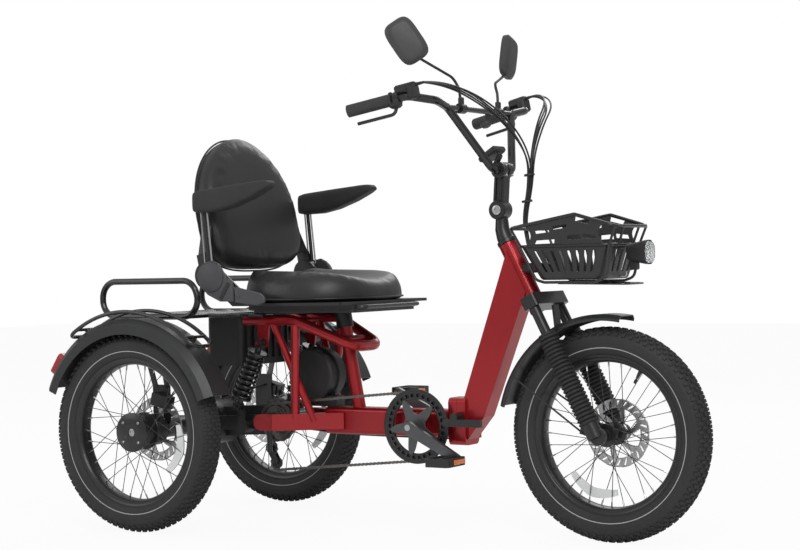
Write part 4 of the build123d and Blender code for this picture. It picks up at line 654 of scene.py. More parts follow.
def discShape(centre, outer=0.090):
    # a polar grid whose cells are left out where the slots, the windows and the gaps between the arms are
    radii = np.array([0.0085, 0.020, 0.0225, 0.030, 0.036, 0.042, 0.048, 0.054, 0.060, 0.0625, 0.065, 0.067,
        0.069, 0.0712, 0.0735, 0.0755, 0.0775, 0.080, 0.0825, 0.085, 0.0875, outer])
    count = 360
    angle = np.arange(count) / count * math.tau
    edge = 1 - 0.012 * (np.cos(angle * 12) > 0.2)
    r = radii[None] * np.where(radii[None] > 0.0868, edge[:, None], 1)
    mid = (radii[1:] + radii[:-1]) / 2
    twist = angle[:, None] - (mid[None] - 0.025) * 9
    arms = np.cos(twist * 6) > 0.55
    keep = np.ones((count, len(mid)), bool)
    between = (mid > 0.030) & (mid < 0.0640)
    keep[:, between] = arms[:, between]
    bolts = (mid > 0.0205) & (mid < 0.0224)
    keep[:, bolts] = np.cos(angle * 6)[:, None] <= 0.86
    slots = (mid > 0.0700) & (mid < 0.0860)
    slant = angle[:, None] * 24 + (mid[None] - 0.078) * 160
    keep[:, slots] = ~(np.cos(slant) > 0.72)[:, slots]
    grid = aroundAxle(angle, r, 0.0) + centre
    faces = gridFaces(count, len(radii), wrapRows=True).reshape(count, len(mid), 4)
    return grid.reshape(-1, 3), faces[keep].tolist()


def reflectorShape(centre, angle, left):
    # a curved translucent bar between the spokes: its width follows a sine along its length
    t = np.linspace(-1, 1, 25)
    turn = math.radians(angle) + t * math.radians(27)
    radius = 0.160 - 0.010 * np.abs(t)
    half = 0.0075 + 0.0055 * np.cos(t * math.pi / 2)
    rows = []
    for out, high in ((-1, -0.002), (-1, 0.002), (1, 0.002), (1, -0.002)):
        r = radius + out * half
        rows.append(np.stack([np.cos(turn) * r, np.full_like(t, high), np.sin(turn) * r], -1))
    grid = np.stack(rows, 1) + centre + across * left
    return gridShape(grid, wrapColumns=True, caps=True)


def valveShape(centre, angle):
    turn = math.radians(angle)
    inward = -np.array([math.cos(turn), 0, math.sin(turn)])
    foot = centre - inward * 0.189
    return turned(foot, inward, [(0, 0.005), (0.006, 0.0045), (0.022, 0.0038), (0.023, 0.0028),
        (0.027, 0.0028), (0.0275, 0.0042), (0.036, 0.0042), (0.038, 0.003)], 12)


wheelTable = (
    ("rear_right", at(0, -halfTrack, axleHeight), True, 1, "wheel_rear_right", 40),
    ("rear_left", at(0, halfTrack, axleHeight), True, -1, "wheel_rear_left", 40),
    ("front", frontAxle, False, 1, "wheel_front", 62),
)
for name, centre, rear, inward, body, valveAngle in wheelTable:
    shape, stripes = tyreSurface(centre)
    makePiece("tyreTread_" + name, [shape], "tyre", body, ["tyre_" + name], sharp=30,
        attributes={"stripe": stripes})
    makePiece("rimRing_" + name, [ringShape(centre, rimProfile, 192), valveShape(centre, valveAngle)],
        "satinBlack", body, ["rim_" + name])
    makePiece("hubSpokes_" + name, hubShapes(centre, rear, inward), ("satinBlack", "darkAlloy", "steel"),
        body, ["hub_" + name])
    gapLeft = 0.084 if rear else 0.042
    discLeft = inward * (gapLeft + 0.0012)
    makePlate("disc_" + name, [discShape(centre + across * discLeft)], "steel", body, 0.002,
        ["brake_disc_" + name])
    makePiece("spokeReflector_" + name, [reflectorShape(centre, -18 if rear else -110, -0.004)],
        "clearReflector", body)
print("wheels made")

# Rear shock springs: a round wire carried along a helix, drawn in a little at both ends
spring = {"radius": 0.0232, "wire": 0.0040, "turns": 8.2, "foot": 0.033, "head": 0.033}


def springShape(foot, head):
    axis, first, second = sideways(head - foot)
    length = np.linalg.norm(head - foot)
    t = np.linspace(0, 1, 260)
    turn = t * spring["turns"] * math.tau
    rise = spring["foot"] + t * (length - spring["foot"] - spring["head"])
    path = foot + rise[:, None] * axis + spring["radius"] * (np.cos(turn)[:, None] * first
        + np.sin(turn)[:, None] * second)
    return tubeAlong(path, spring["wire"], 10)


shapes = []
for side in (-1, 1):
    shapes.append(springShape(at(187, side * 132, 339), at(270, side * 132, 518)))
makePiece("coilSprings", shapes, "blackTube", "chassis", ["shock_springs"])

# Fork boots: an accordion, its radius a rounded wave along the leg
boot = {"foot": 0.040, "length": 0.254, "ribs": 24, "low": 0.0218, "high": 0.0272}


def bootShape(side):
    foot = onSteering(-412 + 40, 26, side * 72)
    t = np.linspace(0, 1, boot["ribs"] * 8 + 1)
    wave = np.abs(np.sin(t * boot["ribs"] * math.pi)) ** 0.7
    radius = boot["low"] + (boot["high"] - boot["low"]) * wave
    profile = np.stack([t * boot["length"], radius], -1)
    collar = np.array([(boot["length"], 0.0235), (boot["length"] + 0.006, 0.0235),
        (boot["length"] + 0.007, 0.0150)])
    return turned(foot, steerUp, np.concatenate([profile, collar]), 40)


makePiece("legBoots", [bootShape(-1), bootShape(1)], "rubber", "steering", ["fork_boots"])


# Chain: links one pitch apart along a belt round the four wheels
def beltPath(circles, pitch):
    # tangent runs between circles (x, z, radius, side), joined by arcs, cut into equal steps
    points = []
    runs = []
    for (x1, z1, r1, s1), (x2, z2, r2, s2) in zip(circles, circles[1:] + circles[:1]):
        dx, dz = x2 - x1, z2 - z1
        swing = math.asin((s1 * r1 - s2 * r2) / math.hypot(dx, dz))
        heading = math.atan2(dz, dx) - math.pi / 2 + swing
        n = (math.cos(heading), math.sin(heading))
        runs.append(((x1 + n[0] * s1 * r1, z1 + n[1] * s1 * r1), (x2 + n[0] * s2 * r2, z2 + n[1] * s2 * r2)))
    for (x, z, r, s), (_, arrive), (leave, end) in zip(circles, runs[-1:] + runs, runs):
        a = math.atan2(arrive[1] - z, arrive[0] - x)
        b = math.atan2(leave[1] - z, leave[0] - x)
        sweep = s * ((s * (b - a)) % math.tau)
        for t in np.linspace(0, 1, 40):
            points.append((x + r * math.cos(a + sweep * t), z + r * math.sin(a + sweep * t)))
        for t in np.linspace(0, 1, 40)[1:-1]:
            points.append((leave[0] + (end[0] - leave[0]) * t, leave[1] + (end[1] - leave[1]) * t))
    points = np.array(points + points[:1])
    run = np.concatenate([[0], np.cumsum(np.linalg.norm(np.diff(points, axis=0), axis=1))])
    count = int(round(run[-1] / pitch / 2)) * 2
    marks = np.linspace(0, run[-1], count, endpoint=False)
    return np.stack([np.interp(marks, run, points[:, 0]), np.interp(marks, run, points[:, 1])], -1)


chain = {"left": -52, "pitch": 12.7, "plateRadius": 4.1, "waist": 2.6, "inner": 2.3, "outer": 3.4, "halfThick": 0.5,
         "pin": 0.0018, "pinHalf": 4.3, "roller": 0.0038, "rollerHalf": 2.0}
# forward, up, radius and turning side of each wheel that the chain goes round
chainCircles = [(733, 290, 94, 1), (259, 294, 47, 1), (238, 214, 20, -1), (262, 172, 20, 1)]


def chainShapes():
    joints = beltPath(chainCircles, chain["pitch"])
    ends = np.roll(joints, -1, 0)
    shapes = []
    turns = np.linspace(math.pi / 2, 3 * math.pi / 2, 6)
    outline = np.array([(math.cos(a) * chain["plateRadius"], math.sin(a) * chain["plateRadius"]) for a in turns])
    half = chain["pitch"] / 2
    loop = np.concatenate([outline, [(half, -chain["waist"])], np.array([chain["pitch"], 0]) - outline,
                           [(half, chain["waist"])]])
    for index, (a, b) in enumerate(zip(joints, ends)):
        along = (b - a) / np.linalg.norm(b - a)
        square = np.array([-along[1], along[0]])
        flat = a + loop[:, :1] * along + loop[:, 1:] * square
        wide = chain["outer"] if index % 2 else chain["inner"]
        for side in (-1, 1):
            faces = (-chain["halfThick"], chain["halfThick"])
            rings = [[at(x, chain["left"] + side * (wide + d), z) for x, z in flat] for d in faces]
            shapes.append(gridShape(np.array(rings), wrapColumns=True, caps=True))
        shapes.append(turned(at(a[0], chain["left"] - chain["pinHalf"], a[1]), across,
                             [(0, chain["pin"]), (0.0086, chain["pin"])], 8))
        shapes.append(turned(at(a[0], chain["left"] - chain["rollerHalf"], a[1]), across,
                             [(0, chain["roller"]), (0.0040, chain["roller"])], 8))
    return shapes


makePiece("chainLinks", chainShapes(), "chainSteel", "chassis", ["chain"])
print("springs, boots and chain made")


# Padded pieces
def puff(piece, cap, voxel=0.006):
    # the cover swells under air pressure in a short cloth run; no point moves further than the cap
    bpy.context.view_layer.objects.active = piece
    remesh = piece.modifiers.new("remesh", "REMESH")
    remesh.mode = "VOXEL"
    remesh.voxel_size = voxel
    depsgraph = bpy.context.evaluated_depsgraph_get()
    solid = bpy.data.meshes.new_from_object(piece.evaluated_get(depsgraph))
    piece.modifiers.clear()
    piece.data = solid
    count = len(solid.vertices)
    rest = np.empty(count * 3)
    solid.vertices.foreach_get("co", rest)
    cloth = piece.modifiers.new("cloth", "CLOTH")
    cloth.settings.use_pressure = True
    cloth.settings.uniform_pressure_force = 4
    cloth.settings.effector_weights.gravity = 0
    cloth.settings.quality = 5
    for number in range(1, 21):
        bpy.context.scene.frame_set(number)
    depsgraph = bpy.context.evaluated_depsgraph_get()
    swollen = bpy.data.meshes.new_from_object(piece.evaluated_get(depsgraph))
    moved = np.empty(count * 3)
    swollen.vertices.foreach_get("co", moved)
    step = (moved - rest).reshape(-1, 3)
    length = np.linalg.norm(step, axis=1)[:, None]
    step *= np.minimum(1, cap / np.maximum(length, 1e-9))
    piece.modifiers.clear()
    swollen.vertices.foreach_set("co", (rest.reshape(-1, 3) + step).reshape(-1))
    piece.data = swollen
    swollen.polygons.foreach_set("use_smooth", np.ones(len(swollen.polygons), bool))
    swollen.update()
    bpy.context.scene.frame_set(1)


cushion = {"rear": 198, "front": 608, "half": 226, "bottom": 633.6, "thick": 92, "corner": 2.6}
middleX = (cushion["rear"] + cushion["front"]) / 2
halfX = (cushion["front"] - cushion["rear"]) / 2


def cushionShape():
    # round the outline, and from the seam over the top by share t: the outline is a rounded square that
    # narrows forward; the height rises as a quarter round and then follows the dished top with its two bolsters
    ex, ey = roundOutline(1, 1, cushion["corner"], 120).T
    t = np.concatenate([np.linspace(0, 0.5, 10), np.linspace(0.56, 1, 12)])
    shrink = np.where(t < 0.5, 1 - 0.16 * (1 - np.cos(t * math.pi)), np.interp(t, [0.5, 1.0], [0.84, 0.0]))
    x = ex[:, None] * shrink[None]
    y = ey[:, None] * shrink[None]
    narrow = 1 - 0.10 * np.clip(x, 0, 1) ** 2 - 0.03 * np.clip(-x, 0, 1)
    bolster = 0.20 * np.exp(-((np.abs(y) - 0.66) / 0.26) ** 2) * (0.75 - 0.35 * x)
    dish = -0.10 * np.exp(-(y / 0.45) ** 2) * (1 - 0.3 * x) - 0.12 * np.clip(x - 0.35, 0, 1)
    rearRise = 0.16 * np.clip(-x - 0.45, 0, 1)
    top = 0.74 + bolster + dish + rearRise
    high = np.where(t[None] < 0.5, 0.10 + (top - 0.10) * np.sin(t[None] * math.pi), top)
    grid = np.stack([middleX + halfX * x, cushion["half"] * y * narrow,
        cushion["bottom"] + cushion["thick"] * high], -1)
    skirt = np.stack([middleX + halfX * ex * 0.985, cushion["half"] * ey * narrow[:, 0] * 0.985,
        np.full_like(ex, cushion["bottom"] + 1.0)], -1)
    belly = np.stack([middleX + halfX * ex * 0.90, cushion["half"] * ey * narrow[:, 0] * 0.90,
        np.full_like(ex, cushion["bottom"] + 0.4)], -1)
    grid = np.concatenate([belly[:, None], skirt[:, None], grid[:, :-1]], 1)
    grid = np.swapaxes(grid, 0, 1)
    grid[..., 0] -= originForward
    return gridShape(grid / 1000, wrapColumns=True, caps=True)


seat = makePiece("seatCushion", [cushionShape()], "vinyl", "chassis", ["seat_cushion"], sharp=180)
puff(seat, 0.004)


def seatTrim():
    # the welt round the foot of the cushion
    ex, ey = roundOutline(1, 1, cushion["corner"], 160).T
    narrow = 1 - 0.10 * np.clip(ex, 0, 1) ** 2 - 0.03 * np.clip(-ex, 0, 1)
    path = np.stack([middleX + halfX * ex * 0.995 - originForward, cushion["half"] * ey * narrow * 0.995,
        np.full_like(ex, cushion["bottom"] + 8.5)], -1) / 1000
    return tubeAlong(path, 0.0026, 8, closed=True)


makePiece("seatWelt", [seatTrim()], "vinyl", "chassis")

back = {"half": 218.0, "length": 394.0, "thick": 84.0, "foot": 12.0, "ahead": 4.0, "widest": 0.38,
        "middle": 0.46, "weltShare": 0.992, "weltBehind": 0.26}
backRoot = at(171, 0, 712) + backUp * back["foot"] / 1000 + backFront * back["ahead"] / 1000


def backOutline(count=140):
    # a pear: above its widest height the half width falls as a rounded arch, below it as a squarer one
    a = np.linspace(0, math.tau, count, endpoint=False)
    v = 0.5 - 0.5 * np.cos(a)
    above = np.clip((v - back["widest"]) / (1 - back["widest"]), 0, 1)
    below = np.clip((back["widest"] - v) / back["widest"], 0, 1)
    wide = np.where(v > back["widest"], (1 - above ** 2.1) ** (1 / 1.85), (1 - below ** 3.8) ** (1 / 3.0))
    return np.sign(np.sin(a)) * wide * 0.985, v


def backShape():
    # rings from the rear face over the rounded edge to the crowned front
    wide, high = backOutline()
    rings = []
    for depth, share, crown in ((-0.50, 0.80, 0), (-0.49, 0.90, 0), (-0.42, 0.965, 0), (-0.30, 0.99, 0),
            (-0.22, 0.985, 0), (-0.10, 1.0, 0), (0.06, 1.0, 0),
                                (0.2, 0.985, 0), (0.32, 0.94, 0), (0.40, 0.87, 0), (0.45, 0.76, 0),
                                (0.48, 0.6, 0), (0.495, 0.42, 0), (0.5, 0.22, 0), (0.5, 0.08, 0)):
        y = wide * share * back["half"]
        h = back["middle"] + (high - back["middle"]) * share
        bow = 0.10 * (np.abs(wide * share)) ** 2.2 if depth > 0 else 0
        d = depth + (bow - 0.05 if depth > 0.3 else 0)
        up = (h * back["length"] / 1000)[:, None]
        left = (y / 1000)[:, None]
        ahead = (np.zeros_like(y) + d * back["thick"] / 1000)[:, None]
        rings.append(backRoot + up * backUp + left * across + ahead * backFront)
    return gridShape(np.array(rings), wrapColumns=True, caps=True)


backrest = makePiece("backrestCover", [backShape()], "vinyl", "backrest", ["backrest_pad"],
    sharp=180)
puff(backrest, 0.004)
wide, high = backOutline(200)
weltUp = ((back["middle"] + (high - back["middle"]) * back["weltShare"]) * back["length"] / 1000)[:, None]
weltLeft = (wide * back["weltShare"] * back["half"] / 1000)[:, None]
welt = backRoot + weltUp * backUp + weltLeft * across - backFront * back["weltBehind"] * back["thick"] / 1000
makePiece("backWelt", [tubeAlong(welt, 0.0026, 8, closed=True)], "vinyl", "backrest")

armrest = {"rear": 150, "length": 262, "top": 950, "thick": 46, "left": 253, "half": 27}


def armrestShape(side):
    # sections along the length: a rounded block whose lower edge sweeps up to a blunt nose
    t = np.linspace(0, 1, 30)
    low = np.interp(t, [0, 0.06, 0.3, 0.5, 0.75, 0.92, 1.0], [-0.32, -0.38, -0.34, -0.12, 0.36, 0.80, 1.05])
    top = np.interp(t, [0, 0.08, 0.5, 0.88, 0.96, 1.0], [0.88, 1.0, 1.22, 1.40, 1.40, 1.22])
    wide = np.interp(t, [0, 0.05, 0.5, 0.88, 0.96, 1.0], [0.80, 0.96, 1.0, 0.95, 0.82, 0.55])
    y, z = roundOutline(1, 1, 4.5, 32).T
    rows = []
    for k in range(len(t)):
        middle, half = (top[k] + low[k]) / 2, (top[k] - low[k]) / 2
        height = armrest["top"] - armrest["thick"] + (middle + half * z) * armrest["thick"]
        rows.append(np.stack([np.full_like(y, armrest["rear"] + armrest["length"] * t[k] - originForward),
                              side * armrest["left"] + y * wide[k] * armrest["half"],
                              height], -1))
    return gridShape(np.array(rows) / 1000, wrapColumns=True, caps=True)


for side, sideName in bothSides:
    pad = makePiece("armPad_" + sideName, [armrestShape(side)], "armPad", "backrest",
        ["armrests"] if side < 0 else (), sharp=60)
print("cushions made")


def loftShape(centre, xAxis, yAxis, sections):
    # each section is (distance along the third axis, half size x, half size y, power)
    x, y = np.asarray(xAxis, float), np.asarray(yAxis, float)
    z = np.cross(x, y)
    rings = []
    for far, halfX, halfY, power in sections:
        flat = roundOutline(halfX, halfY, power)
        rings.append(np.asarray(centre) + far * z + flat[:, :1] * x + flat[:, 1:] * y)
    return gridShape(np.array(rings), wrapColumns=True, caps=True)


def roundedLoop(loop, corner=28.0, along=112, cross=64, arc=8):
    # stations round a rounded rectangle: evenly along each side, then round each corner
    rear, front, half = loop["rear"], loop["front"], loop["half"]
    sides = (((rear + corner, -half), (front - corner, -half)),
        ((front, -half + corner), (front, half - corner)),
             ((front - corner, half), (rear + corner, half)), ((rear, half - corner), (rear, -half + corner)))
    middles = ((front - corner, -half + corner), (front - corner, half - corner),
        (rear + corner, half - corner), (rear + corner, -half + corner))
    points, side, share = [], [], []
    for index in range(4):
        count = cross if index % 2 else along
        t = np.arange(count)[:, None] / count
        points.append(np.array(sides[index][0]) * (1 - t) + np.array(sides[index][1]) * t)
        side += [index] * count
        share += list(t[:, 0])
        turn = np.radians(-90 + 90 * index + 90 * np.arange(arc) / arc)
        points.append(np.array(middles[index]) + corner * np.stack([np.cos(turn), np.sin(turn)], -1))
        side += [-1] * arc
        share += [0.0] * arc
    return np.concatenate(points), np.array(side), np.array(share)


# Basket: a slotted tub under a wire ring, two slotted side panels and a rim that rises to a peak on each side
tubFoot = {"rear": 1133, "front": 1318, "half": 84}
tubHead = {"rear": 1082, "front": 1345, "half": 97}
basket = {"floor": 684, "ring": 771, "corner": 818, "peak": 851, "peakForward": 1252, "rimRear": 1060,
    "rimFront": 1362, "rimHalf": 104,
          "wire": 0.0045, "wall": 0.0022, "sideSlots": 8, "endSlots": 4}


def tubShape():
    # the wall runs straight from the foot loop to the head loop and turns in to the floor by a quarter round
    foot, side, share = roundedLoop(tubFoot)
    head = roundedLoop(tubHead)[0]
    middle = foot.mean(0)
    rows = [(0.15, 0.0, 0), (0.5, 0.0, 0), (0.8, 0.0, 0), (0.93, 0.0, 0), (0.98, 0.004, 0)]
    rows += [(1.0, h, 1) for h in np.concatenate([[0.05, 0.12, 0.19], np.linspace(0.22, 0.86, 9),
        [0.90, 1.0]])]
    grid = []
    for scale, rise, isWall in rows:
        flat = middle + (foot - middle) * scale if not isWall else foot * (1 - rise) + head * rise
        grid.append([at(x, y, basket["floor"] + rise * (basket["ring"] - basket["floor"])) for x, y in flat])
    rise = np.array([r[1] for r in rows])
    middleRise = (rise[1:] + rise[:-1]) / 2
    pitch = np.where(side % 2 == 1, share * basket["endSlots"], share * basket["sideSlots"]) % 1
    inSlot = (side >= 0) & (pitch > 0.30) & (pitch < 0.66)
    keep = ~(inSlot[None] & ((middleRise > 0.22) & (middleRise < 0.86))[:, None])
    return sheetShape(np.array(grid), keep, wrapColumns=True)


def rimHeight(forward):
    return np.interp(forward, [basket["rimRear"], basket["peakForward"], basket["rimFront"]],
        [basket["corner"], basket["peak"], basket["corner"]])


panelSlots = ((0.10, 0.25, 0.10, 0.36), (0.20, 0.35, 0.54, 0.72), (0.26, 0.41, 0.76, 0.94),
    (0.55, 0.67, 0.08, 0.28), (0.62, 0.74, 0.34, 0.54),
              (0.80, 0.94, 0.66, 0.84))


def panelShape(side):
    # a ruled sheet from the ring to the rim; its ends bow inwards between the two
    share = np.linspace(0, 1, 101)
    rise = np.linspace(0, 1, 41)
    bow = 16 * np.sin(rise * math.pi)
    forward = (1106 + bow)[:, None] * (1 - share)[None] + (1332 - bow)[:, None] * share[None]
    high = basket["ring"] + (rimHeight(forward) - 2 - basket["ring"]) * rise[:, None]
    left = side * (tubHead["half"] + (basket["rimHalf"]
        - tubHead["half"]) * rise[:, None]) * np.ones_like(forward)
    grid = np.stack([forward - originForward, left, high], -1) / 1000
    middleShare, middleRise = (share[1:] + share[:-1]) / 2, (rise[1:] + rise[:-1]) / 2
    keep = np.ones((len(middleRise), len(middleShare)), bool)
    for low, top, start, end in panelSlots:
        inRise = (middleRise > low) & (middleRise < top)
        inShare = (middleShare > start) & (middleShare < end)
        keep[np.ix_(inRise, inShare)] = False
    return sheetShape(grid, keep)


def basketWires():
    rim = [at(basket["rimRear"], -basket["rimHalf"], basket["corner"]),
        at(basket["peakForward"], -basket["rimHalf"] - 2, basket["peak"]),
           at(basket["rimFront"], -basket["rimHalf"] + 4, basket["corner"]),
           at(basket["rimFront"], basket["rimHalf"] - 4, basket["corner"]),
           at(basket["peakForward"], basket["rimHalf"] + 2, basket["peak"]),
           at(basket["rimRear"], basket["rimHalf"], basket["corner"])]
    ring = [at(x, y, basket["ring"]) for x, y in roundedLoop(tubHead, along=6, cross=4)[0]]
    shapes = [tubeAlong(bentPath(rim, 0.02, closed=True), basket["wire"], 12, closed=True),
        tubeAlong(ring, 0.004, 10, closed=True)]
    for side in (-1, 1):
        for foot, head in (((1086, 90), (1062, 98)), ((1341, 90), (1360, 94)), ((1345, 42), (1362, 46))):
            shapes.append(tubeAlong([at(foot[0], side * foot[1], basket["ring"]),
                at(head[0], side * head[1], basket["corner"])], 0.0034, 10))
        low = [at(1086, side * 97, basket["ring"]), at(1128, side * 88, 684), at(1152, side * 87, 677),
            at(1298, side * 87, 677),
               at(1324, side * 89, 686), at(1343, side * 96, basket["ring"])]
        shapes.append(tubeAlong(bentPath(low, 0.02), 0.0038, 10))
    under = [at(1180, -64, 674), at(1372, -56, 670), at(1372, 56, 670), at(1180, 64, 674)]
    shapes.append(tubeAlong(bentPath(under, 0.022), 0.0026, 8))
    shapes.append(block(at(1094, 0, 715), forwardAxis, across, (0.084, 0.050, 0.026), 0.004))
    return shapes


makePlate("basketTub", [tubShape(), panelShape(-1), panelShape(1)], "mesh", "front_section",
    basket["wall"], ["basket"])
makePiece("basketWires", basketWires(), "blackTube", "front_section")

# Headlamp: a tapered housing with a clear oval lens over a bright bowl, on a bent wire
lamp = {"rear": 1352, "front": 1410, "up": 750}
lampPlace = at(lamp["rear"], 0, lamp["up"])
housing = loftShape(lampPlace, across, upward,
    [(0, 0.015, 0.017, 3), (0.004, 0.020, 0.022, 3), (0.030, 0.024, 0.027, 3), (0.050, 0.027, 0.031, 3),
                                                (0.058, 0.0275, 0.0315, 3), (0.058, 0.0245, 0.0285, 3),
                                                (0.050, 0.023, 0.027, 3)])
bowl = loftShape(lampPlace, across, upward, [(0.0505, 0.0225, 0.0265, 3), (0.0545, 0.0235, 0.0275, 3),
    (0.0545, 0.014, 0.018, 3), (0.051, 0.012, 0.016, 3),
                                             (0.051, 0.006, 0.010, 3), (0.056, 0.005, 0.009, 3)])
makePiece("lampHousing", [housing, block(at(1368, 0, 718), forwardAxis, across, (0.022, 0.020, 0.026),
    0.003)], "blackPlastic", "front_section",
          ["headlamp"])
makePiece("lampBowl", [bowl], "lampBowl", "front_section")
makePiece("lampLens", [loftShape(lampPlace, across, upward,
    [(0.0575, 0.0242, 0.0282, 3), (0.062, 0.0236, 0.0276, 3), (0.0655, 0.019, 0.023, 3),
                                                            (0.067, 0.010, 0.013, 3)])],
          "lens", "front_section")
makePiece("lampWire", [tubeAlong(bentPath([at(1316, 18, 688), at(1338, 18, 690), at(1336, 14, 702),
    at(1366, 8, 708)], 0.006), 0.0019, 8)],
          "steel", "front_section")
print("basket and headlamp made")

# Recliner covers outside the backrest arms, each with a round boss, a rib and its release lever
coverOutline = ((154, 712), (162, 731), (182, 748), (208, 753), (229, 744), (241, 730), (254, 705),
    (273, 696), (282, 676), (281, 639), (234, 639),
                (191, 658), (162, 685))
leverOutline = ((284, 680), (335, 669), (372, 661), (388, 648), (386, 636), (366, 627), (324, 630),
    (286, 637))


def sidePlate(outline, thick, left, bevel=0.003):
    flat = np.array([((x - originForward) / 1000, z / 1000) for x, z in outline])
    return slab(flat, thick, (0, left / 1000, 0), forwardAxis, upward, bevel)


for side, sideName in bothSides:
    plates = [sidePlate(coverOutline, 0.011, side * 263.5),
        turned(at(206, side * 268, 706), across * side,
        [(0, 0.041), (0.003, 0.041), (0.006, 0.037), (0.0062, 0.004)], 48)]
    rib = block(at(252, side * 269.5, 668), (0.55, 0, 0.83), across, (0.052, 0.004, 0.011), 0.001)
    handle = [sidePlate(leverOutline, 0.012, side * 264.5, 0.004),
        turned(at(300, side * 270, 655), across * side, [(0, 0.006), (0.002, 0.006), (0.003, 0.004)], 16)]
    makePiece("reclinerCover_" + sideName, plates + handle + [rib + (1,)], ("coverGrey", "blackPlastic"),
        "chassis")
    rods = []
    for foot, head, radius, mark in ((173, 160, 0.0026, 0), (197, 181, 0.0026, 0), (185, 170.5, 0.0055, 1)):
        rods.append(tubeAlong([at(foot, side * 251, 740), at(head, side * 251, 906)], radius, 10) + (mark,))
    makePiece("armrestRods_" + sideName, rods, ("chrome", "satinBlack"), "backrest",
        ["armrest_posts"] if side < 0 else ())
print("recliner covers made")


# Stem: a neck from the head tube, a bolted round pivot, a waisted post and the two-part bar clamp
pivot = onSteering(256, 24)
clampMiddle = at(987, 0, 977)


def stemShapes():
    neck = tubeAlong([onSteering(168), onSteering(186), onSteering(208, 4), onSteering(236, 17), pivot],
        [0.0225, 0.0215, 0.0195, 0.0165, 0.017], 28)
    collar = turned(onSteering(167), steerUp, [(0, 0.0235), (0, 0.0262), (0.009, 0.0262), (0.011, 0.0235)],
        40)
    barrel = turned(pivot - across * 0.022, across,
        [(0, 0.018), (0, 0.0235), (0.0025, 0.0255), (0.0415, 0.0255), (0.044, 0.0235), (0.044, 0.018)], 48)
    shapes = [neck, collar, barrel]
    rise = (clampMiddle - pivot) / np.linalg.norm(clampMiddle - pivot)
    ahead = np.cross(across, rise)
    middle = (clampMiddle + pivot) / 2
    shapes.append(block(middle, ahead, across, (0.020, 0.026, 0.106), 0.003))
    for edge in (-1, 1):
        shapes.append(block(middle + ahead * edge * 0.0125, ahead, across, (0.0065, 0.034, 0.104), 0.002))
        shapes.append(turned(pivot + across * edge * 0.0215, across * edge,
            [(0, 0.013), (0.003, 0.013), (0.004, 0.011), (0.004, 0.0055), (0.0015, 0.005)], 28) + (1,))
    for low, top in ((-0.026, -0.004), (0.004, 0.026)):
        shapes.append(turned(clampMiddle, across, [(low, 0.0115), (low, 0.020), (low + 0.002, 0.022),
            (top - 0.002, 0.022), (top, 0.020), (top, 0.0115)], 40))
        for up in (-1, 1):
            shapes.append(screwHead(clampMiddle + np.array([0.0205, (low + top) / 2, up * 0.013]),
                forwardAxis, 0.0038, 0.003) + (1,))
    return shapes


makePiece("stemParts", stemShapes(), ("satinBlack", "steel"), "steering", ["stem"])

# Display: a tilted case with a glossy face, on an arm from the clamp
caseTilt = math.radians(32)
caseAlong = np.array([math.cos(caseTilt), 0, math.sin(caseTilt)])
caseUp = np.array([-math.sin(caseTilt), 0, math.cos(caseTilt)])
caseMiddle = at(956, 0, 1021)
makePiece("displayCase", [block(caseMiddle, caseAlong, across, (0.062, 0.058, 0.017), 0.004),
                          block(caseMiddle + caseUp * 0.0089, caseAlong, across, (0.052, 0.048, 0.0012),
                          0.0004) + (1,),
                          block(at(972, 0, 1003), (0.5, 0, 0.86), across, (0.040, 0.018, 0.012), 0.003)],
          ("blackPlastic", "screen"), "steering", ["display"])

# Mirrors: a rounded head with a bevelled back, glass in its rear face, on a bent stem from the crossbar
mirrorTable = ((-1, "right", 55, 57, (853, -256, 1311)), (1, "left", 6, 108, (872, 256, 1309)))


def mirrorShapes(side, turnBy, tilt, place):
    turnBy, tilt = math.radians(turnBy), math.radians(tilt)
    outwards = np.array([math.cos(turnBy), side * math.sin(turnBy), 0])
    level = np.array([-side * math.sin(turnBy), math.cos(turnBy), 0])
    long = level * math.cos(tilt) - upward * math.sin(tilt)
    short = np.cross(outwards, long)
    centre = at(*place)
    shell = loftShape(centre, long, short, [(-0.010, 0.056, 0.036, 4), (-0.009, 0.060, 0.040, 4),
        (0.003, 0.061, 0.041, 4), (0.010, 0.055, 0.035, 4),
                                            (0.0145, 0.049, 0.029, 4), (0.0150, 0.046, 0.026, 4)])
    glass = loftShape(centre, long, short, [(-0.0115, 0.0535, 0.0335, 4), (-0.0095, 0.055, 0.035, 4)])
    base = at(922, side * 100, 1140)
    edge = centre + long * 0.050
    stem = bentPath([base, at(919, side * 103, 1192), at(906, side * 112, 1222), edge], 0.03)
    clamp = turned(base - across * 0.013, across, [(0, 0.0085), (0, 0.0135), (0.026, 0.0135),
        (0.026, 0.0085)], 24)
    nut = turned(base + upward * 0.010, upward, [(0, 0.008), (0.018, 0.008), (0.020, 0.006)], 6)
    return [shell, tubeAlong(stem, 0.0038, 10) + (1,), clamp + (1,), nut + (1,), glass + (2,)]


for side, sideName, turnBy, tilt, place in mirrorTable:
    makePiece("mirror_" + sideName, mirrorShapes(side, turnBy, tilt, place),
        ("mirrorBack", "satinBlack", "chrome"), "steering",
              ["mirrors"] if side < 0 else ())

